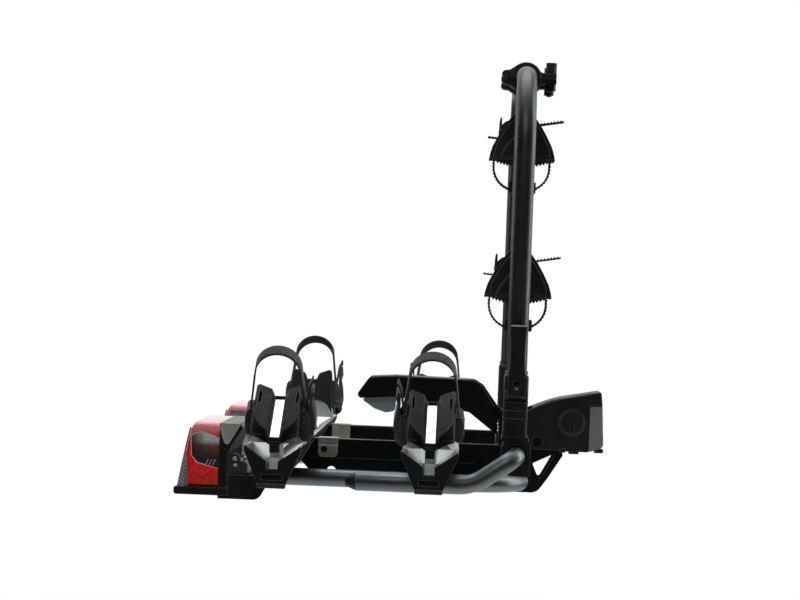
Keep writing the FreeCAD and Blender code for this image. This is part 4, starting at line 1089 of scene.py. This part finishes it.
def make_cover_details(side):
    add = mirrored(side + "_cover_", side, "coupling")
    start, crest, stop = Vector((-70.5, 47.6)), Vector((-26, 66.2)), Vector((43.5, 79.3))
    rail = [start] + arc_corner(start, crest, stop, 160, 12) + [stop]
    bead = Solid().ribbon(rail, COVER_HALF - 2, COVER_HALF + 0.9, lambda share: -1.4)
    add(bead, "edge_bead", "black_plastic", 0.3)
    radius = 18.2
    reach = math.pi / 2 - math.asin(2.4 / radius)
    for part, facing in (("boss_half_rear", math.pi), ("boss_half_front", 0)):
        outline = arc(BOSS_CENTRE, radius, facing - reach, facing + reach, 20)
        add(Solid().prism(outline, COVER_HALF, COVER_HALF + 4.2), part, "black_plastic", 1.2)
    ring = [(point.x, COVER_HALF + 0.3, point.y) for point in arc(BOSS_CENTRE, 20.6, 0, 2 * math.pi, 48)]
    add(Solid().cable(ring, 0.8, 8), "boss_ring", "black_plastic", 0.1)
    # grey panel on the cover's curved front end: painted light
    nose = [(28.5, -12.8, 1), (44, -9.5, 3), (50.4, -4, 4), (47.0, 57.5, 1), (28.5, 57.5, 1)]
    add(Solid().plate(nose, COVER_HALF - 2, COVER_HALF + 0.7), "nose_panel", "nose_grey", 0.8)
    cap = [(26, 59, 1.5), (47.6, 59, 1.5), (45.2, 80.4, 2), (30, 77.8, 2)]
    add(Solid().plate(cap, COVER_HALF - 2, COVER_HALF + 1.6), "nose_cap", "black_plastic", 0.8)
    flange = [(36, -14, 1), (51, -14, 2), (51, -7, 2), (38, -9, 1)]
    add(Solid().plate(flange, COVER_HALF - 6, COVER_HALF + 1.4), "flange", "black_plastic", 0.6)
    tabs = Solid()
    for corners in ([(-16, -15.5, 1), (-8, -15.5, 1), (-7, -8, 1), (-17, -8, 1)],
                    [(-3, -17, 1), (13, -17, 1), (13, -12, 1), (-3, -12, 1)]):
        tabs.plate(corners, COVER_HALF - 6, COVER_HALF + 0.8)
    add(tabs, "catch_tabs", "black_plastic")
    washer = Solid().disc_y(-52, -1, 10.5, 43.2, 45.0)
    mirrored(side, side, "platform")(washer, "_tilt_washer", "black_steel", 0.8)


for each_side in SIDES:
    make_cover_details(each_side)


def lever_details(side):
    add = mirrored(side + "_lever_", side, "lever")
    rib = flowing([(-318, 86.5), (-300, 90.3), (-272, 91.4), (-210, 91.0), (-158, 89.4), (-144, 84),
                   (-134, 72), (-121, 51)], 6, closed=False)
    add(Solid().ribbon(rib, 33.2, 35.0, lambda share: 1.3), "bead", "black_plastic", 0.3)
    add(Solid().disc_y(-132, 53, 6.2, 33, 36.2, 32), "rivet", "black_steel", 1.0)


for each_side in SIDES:
    lever_details(each_side)

# ---------------------------------------------------------------- bow feet, drawn on the left side (+Y)

LEG_Y = 290.0


def make_bow_foot(side):
    add = mirrored(side + "_", side, "bow")
    near, far = BOW_X - 18.4, BOW_X + 18.4
    for step, z in enumerate((46, 58, 70)):
        bead = [(near, z - 0.8, 0.4), (far, z - 0.8, 0.4), (far, z + 0.8, 0.4), (near, z + 0.8, 0.4)]
        add(Solid().plate(bead, LEG_Y + 14, LEG_Y + 18.9), f"sleeve_bead_{step}", "black_plastic", 0.3)
    screw = Solid().disc_y(BOW_X - 2, 34, 2.6, LEG_Y + 17, LEG_Y + 18.9, 24)
    add(screw, "sleeve_screw", "black_steel", 0.6)
    collar = Solid().rod((BOW_X, LEG_Y, 111), (BOW_X, LEG_Y, 116), 17.4, 16.2)
    add(collar, "sleeve_collar", "black_plastic", 0.8)
    boss = Solid().rod((BOW_X + 3, LEG_Y + 12, -8.5), (BOW_X + 3, LEG_Y + 19.4, -8.5), 18.2, 16.8, 40)
    add(boss, "hinge_boss", "black_plastic", 0.8)
    skirt = [(BOW_X - 19, 12, 3), (BOW_X + 22, 12, 3), (BOW_X + 19.5, 21, 2), (BOW_X - 19.5, 21, 2)]
    add(Solid().plate(skirt, LEG_Y - 18.8, LEG_Y + 18.8), "hinge_skirt", "black_plastic", 1.5)
    lock_screw = Solid().disc_y(BOW_X, 90, 2.3, 317.5, 320.4, 20)
    add(lock_screw, "lock_screw", "steel", body=side + "_lock")
    # thin pale strip along the lock's top edge: a painted highlight
    lip = Solid().slab((BOW_X - 11, BOW_X + 11), (319.5, 321.2), (180.6, 182.6))
    add(lip, "lock_lip", "mid_grey", 0.4, side + "_lock")


for each_side in SIDES:
    make_bow_foot(each_side)

# ---------------------------------------------------------------- small fittings on the frame


def make_fittings(side):
    add = mirrored(side + "_", side, "platform")
    leaf = [(-383, 3.5, 0.5), (-353, 3.5, 0.5), (-353, -25, 7), (-383, -25, 7)]
    clip = Solid().plate(leaf, 221.1, 222.7).plate(leaf, 196.2, 197.8)
    clip.slab((-383, -353), (196.2, 222.7), (2.05, 3.6)).slab((-383, -353), (222.0, 223.5), (-8.6, -7.4))
    add(clip, "clip", "zinc", stands_for=["beam_clips"])
    add(Solid().disc_y(-374, -14, 4.8, 222.0, 223.0, 28), "clip_hole_shadow", "black_steel", 0.2)
    crease = Solid().slab((-395, -150), (220.6, 222.0), (-27.2, -25.4))
    add(crease, "beam_crease", "black_steel", 0.6)
    for x in (-300, -190):
        bolt = Solid().rod((x + 17, 290, -52), (x + 17, 290, -49.5), 6, segments=6)
        add(bolt, f"tie_bolt_{-x}", "zinc")
    for x in (-430, -213):
        screw = Solid().rod((x, 510, -29.6), (x, 510, -27.4), 3.6, segments=20)
        add(screw, f"tray_screw_{-x}", "black_steel", 0.4)
        lip = [(x - 19, -53.2, 1.5), (x + 19, -53.2, 1.5), (x + 20.5, -46.2, 1.5), (x - 20.5, -46.2, 1.5)]
        add(Solid().plate(lip, 517, 526.6), f"cap_lip_{-x}", "grey_dark", 1.0)


for each_side in SIDES:
    make_fittings(each_side)

# ---------------------------------------------------------------- stage, light and camera


def make_camera():
    data = bpy.data.cameras.new("camera")
    data.lens = CAMERA_LENS
    camera = bpy.data.objects.new("camera", data)
    bpy.context.scene.collection.objects.link(camera)
    turn = Matrix.Rotation(math.radians(CAMERA_YAW), 4, "Z")
    tip = Matrix.Rotation(math.radians(90 + CAMERA_PITCH), 4, "X")
    roll = Matrix.Rotation(math.radians(CAMERA_ROLL), 4, "Z")
    camera.matrix_world = Matrix.Translation(CAMERA_PLACE) @ turn @ tip @ roll
    bpy.context.scene.camera = camera


def area_light(name, place, target, width, height, power):
    data = bpy.data.lights.new(name, "AREA")
    data.shape = "RECTANGLE"
    data.size = width
    data.size_y = height
    data.energy = power
    light = bpy.data.objects.new(name, data)
    bpy.context.scene.collection.objects.link(light)
    light.location = place
    light.rotation_euler = (Vector(target) - Vector(place)).to_track_quat("-Z", "Y").to_euler()


def seen_by_camera(tree):
    return tree.nodes.new("ShaderNodeLightPath").outputs["Is Camera Ray"]


def make_floor():
    """Pale floor: takes a soft shadow, fades into the white backdrop and gives a bounce below the carrier."""
    half = 12.0
    mesh = bpy.data.meshes.new("floor")
    corners = [(-half, -half), (half, -half), (half, half), (-half, half)]
    mesh.from_pydata([(x, y, 0) for x, y in corners], [], [(0, 1, 2, 3)])
    floor = bpy.data.objects.new("floor", mesh)
    floor.location.z = GROUND_Z
    bpy.context.scene.collection.objects.link(floor)
    s = Shader("floor")
    s.color(s.ramp(s.noise(3, 2), (0.3, (0.8, 0.8, 0.8)), (0.7, (0.84, 0.84, 0.84))))
    s.set(Roughness=0.9)
    white = s.node("ShaderNodeEmission")
    white.inputs["Strength"].default_value = 1.0
    bounce = s.node("ShaderNodeEmission")
    distance = s.node("ShaderNodeVectorMath", operation="LENGTH")
    s.link(s.place, distance.inputs[0])
    s.link(s.remap(distance.outputs["Value"], *FLOOR_BOUNCE, 0.5, 1.2), bounce.inputs["Strength"])
    fade = s.remap(distance.outputs["Value"], 0.55, 1.0, 0.6, 1.6)
    near = s.node("ShaderNodeMixShader")
    s.link(fade, near.inputs["Fac"])
    s.link(s.surface.outputs["BSDF"], near.inputs[1])
    s.link(white.outputs["Emission"], near.inputs[2])
    shown = s.node("ShaderNodeMixShader")
    s.link(seen_by_camera(s.tree), shown.inputs["Fac"])
    s.link(bounce.outputs["Emission"], shown.inputs[1])
    s.link(near.outputs["Shader"], shown.inputs[2])
    s.link(shown.outputs["Shader"], s.tree.nodes["Material Output"].inputs["Surface"])
    mesh.materials.append(s.material)


def make_world():
    """White to the camera; to the object a studio that is bright behind and above it and dark in front."""
    world = bpy.data.worlds.new("studio")
    world.use_nodes = True
    tree = world.node_tree
    background = tree.nodes["Background"]
    background.inputs["Color"].default_value = (1, 1, 1, 1)
    direction = tree.nodes.new("ShaderNodeTexCoord").outputs["Generated"]
    split = tree.nodes.new("ShaderNodeSeparateXYZ")
    tree.links.new(direction, split.inputs["Vector"])
    brightness = []
    for axis, low, high, dark, bright in (("Y", 0.15, 0.98, 0.012, 0.9), ("Z", 0.4, 0.95, 0.0, 0.4)):
        ramp = tree.nodes.new("ShaderNodeMapRange")
        ramp.interpolation_type = "SMOOTHSTEP"
        for label, value in (("From Min", low), ("From Max", high), ("To Min", dark), ("To Max", bright)):
            ramp.inputs[label].default_value = value
        tree.links.new(split.outputs[axis], ramp.inputs["Value"])
        brightness.append(ramp.outputs["Result"])
    total = tree.nodes.new("ShaderNodeMath")
    total.operation = "ADD"
    tree.links.new(brightness[0], total.inputs[0])
    tree.links.new(brightness[1], total.inputs[1])
    choose = tree.nodes.new("ShaderNodeMix")
    tree.links.new(seen_by_camera(tree), choose.inputs["Factor"])
    tree.links.new(total.outputs["Value"], choose.inputs["A"])
    choose.inputs["B"].default_value = 1.0
    tree.links.new(choose.outputs["Result"], background.inputs["Strength"])
    bpy.context.scene.world = world


def make_light():
    make_world()
    area_light("left_strip", (-2.0, 0.6, 0.8), (-0.3, 0, 0.1), 0.4, 2.0, 6)
    area_light("right_box", (1.6, 0.3, 0.7), (-0.1, 0, 0.2), 1.0, 2.2, 26)
    area_light("top_box", (-0.3, 0.3, 2.2), (-0.25, 0, 0), 2.0, 1.6, 26)
    area_light("front_fill", (-0.5, -2.6, 1.9), (-0.25, 0, 0.1), 1.6, 1.2, 12)
    bpy.context.scene.view_settings.view_transform = "Standard"


make_camera()
make_floor()
make_light()
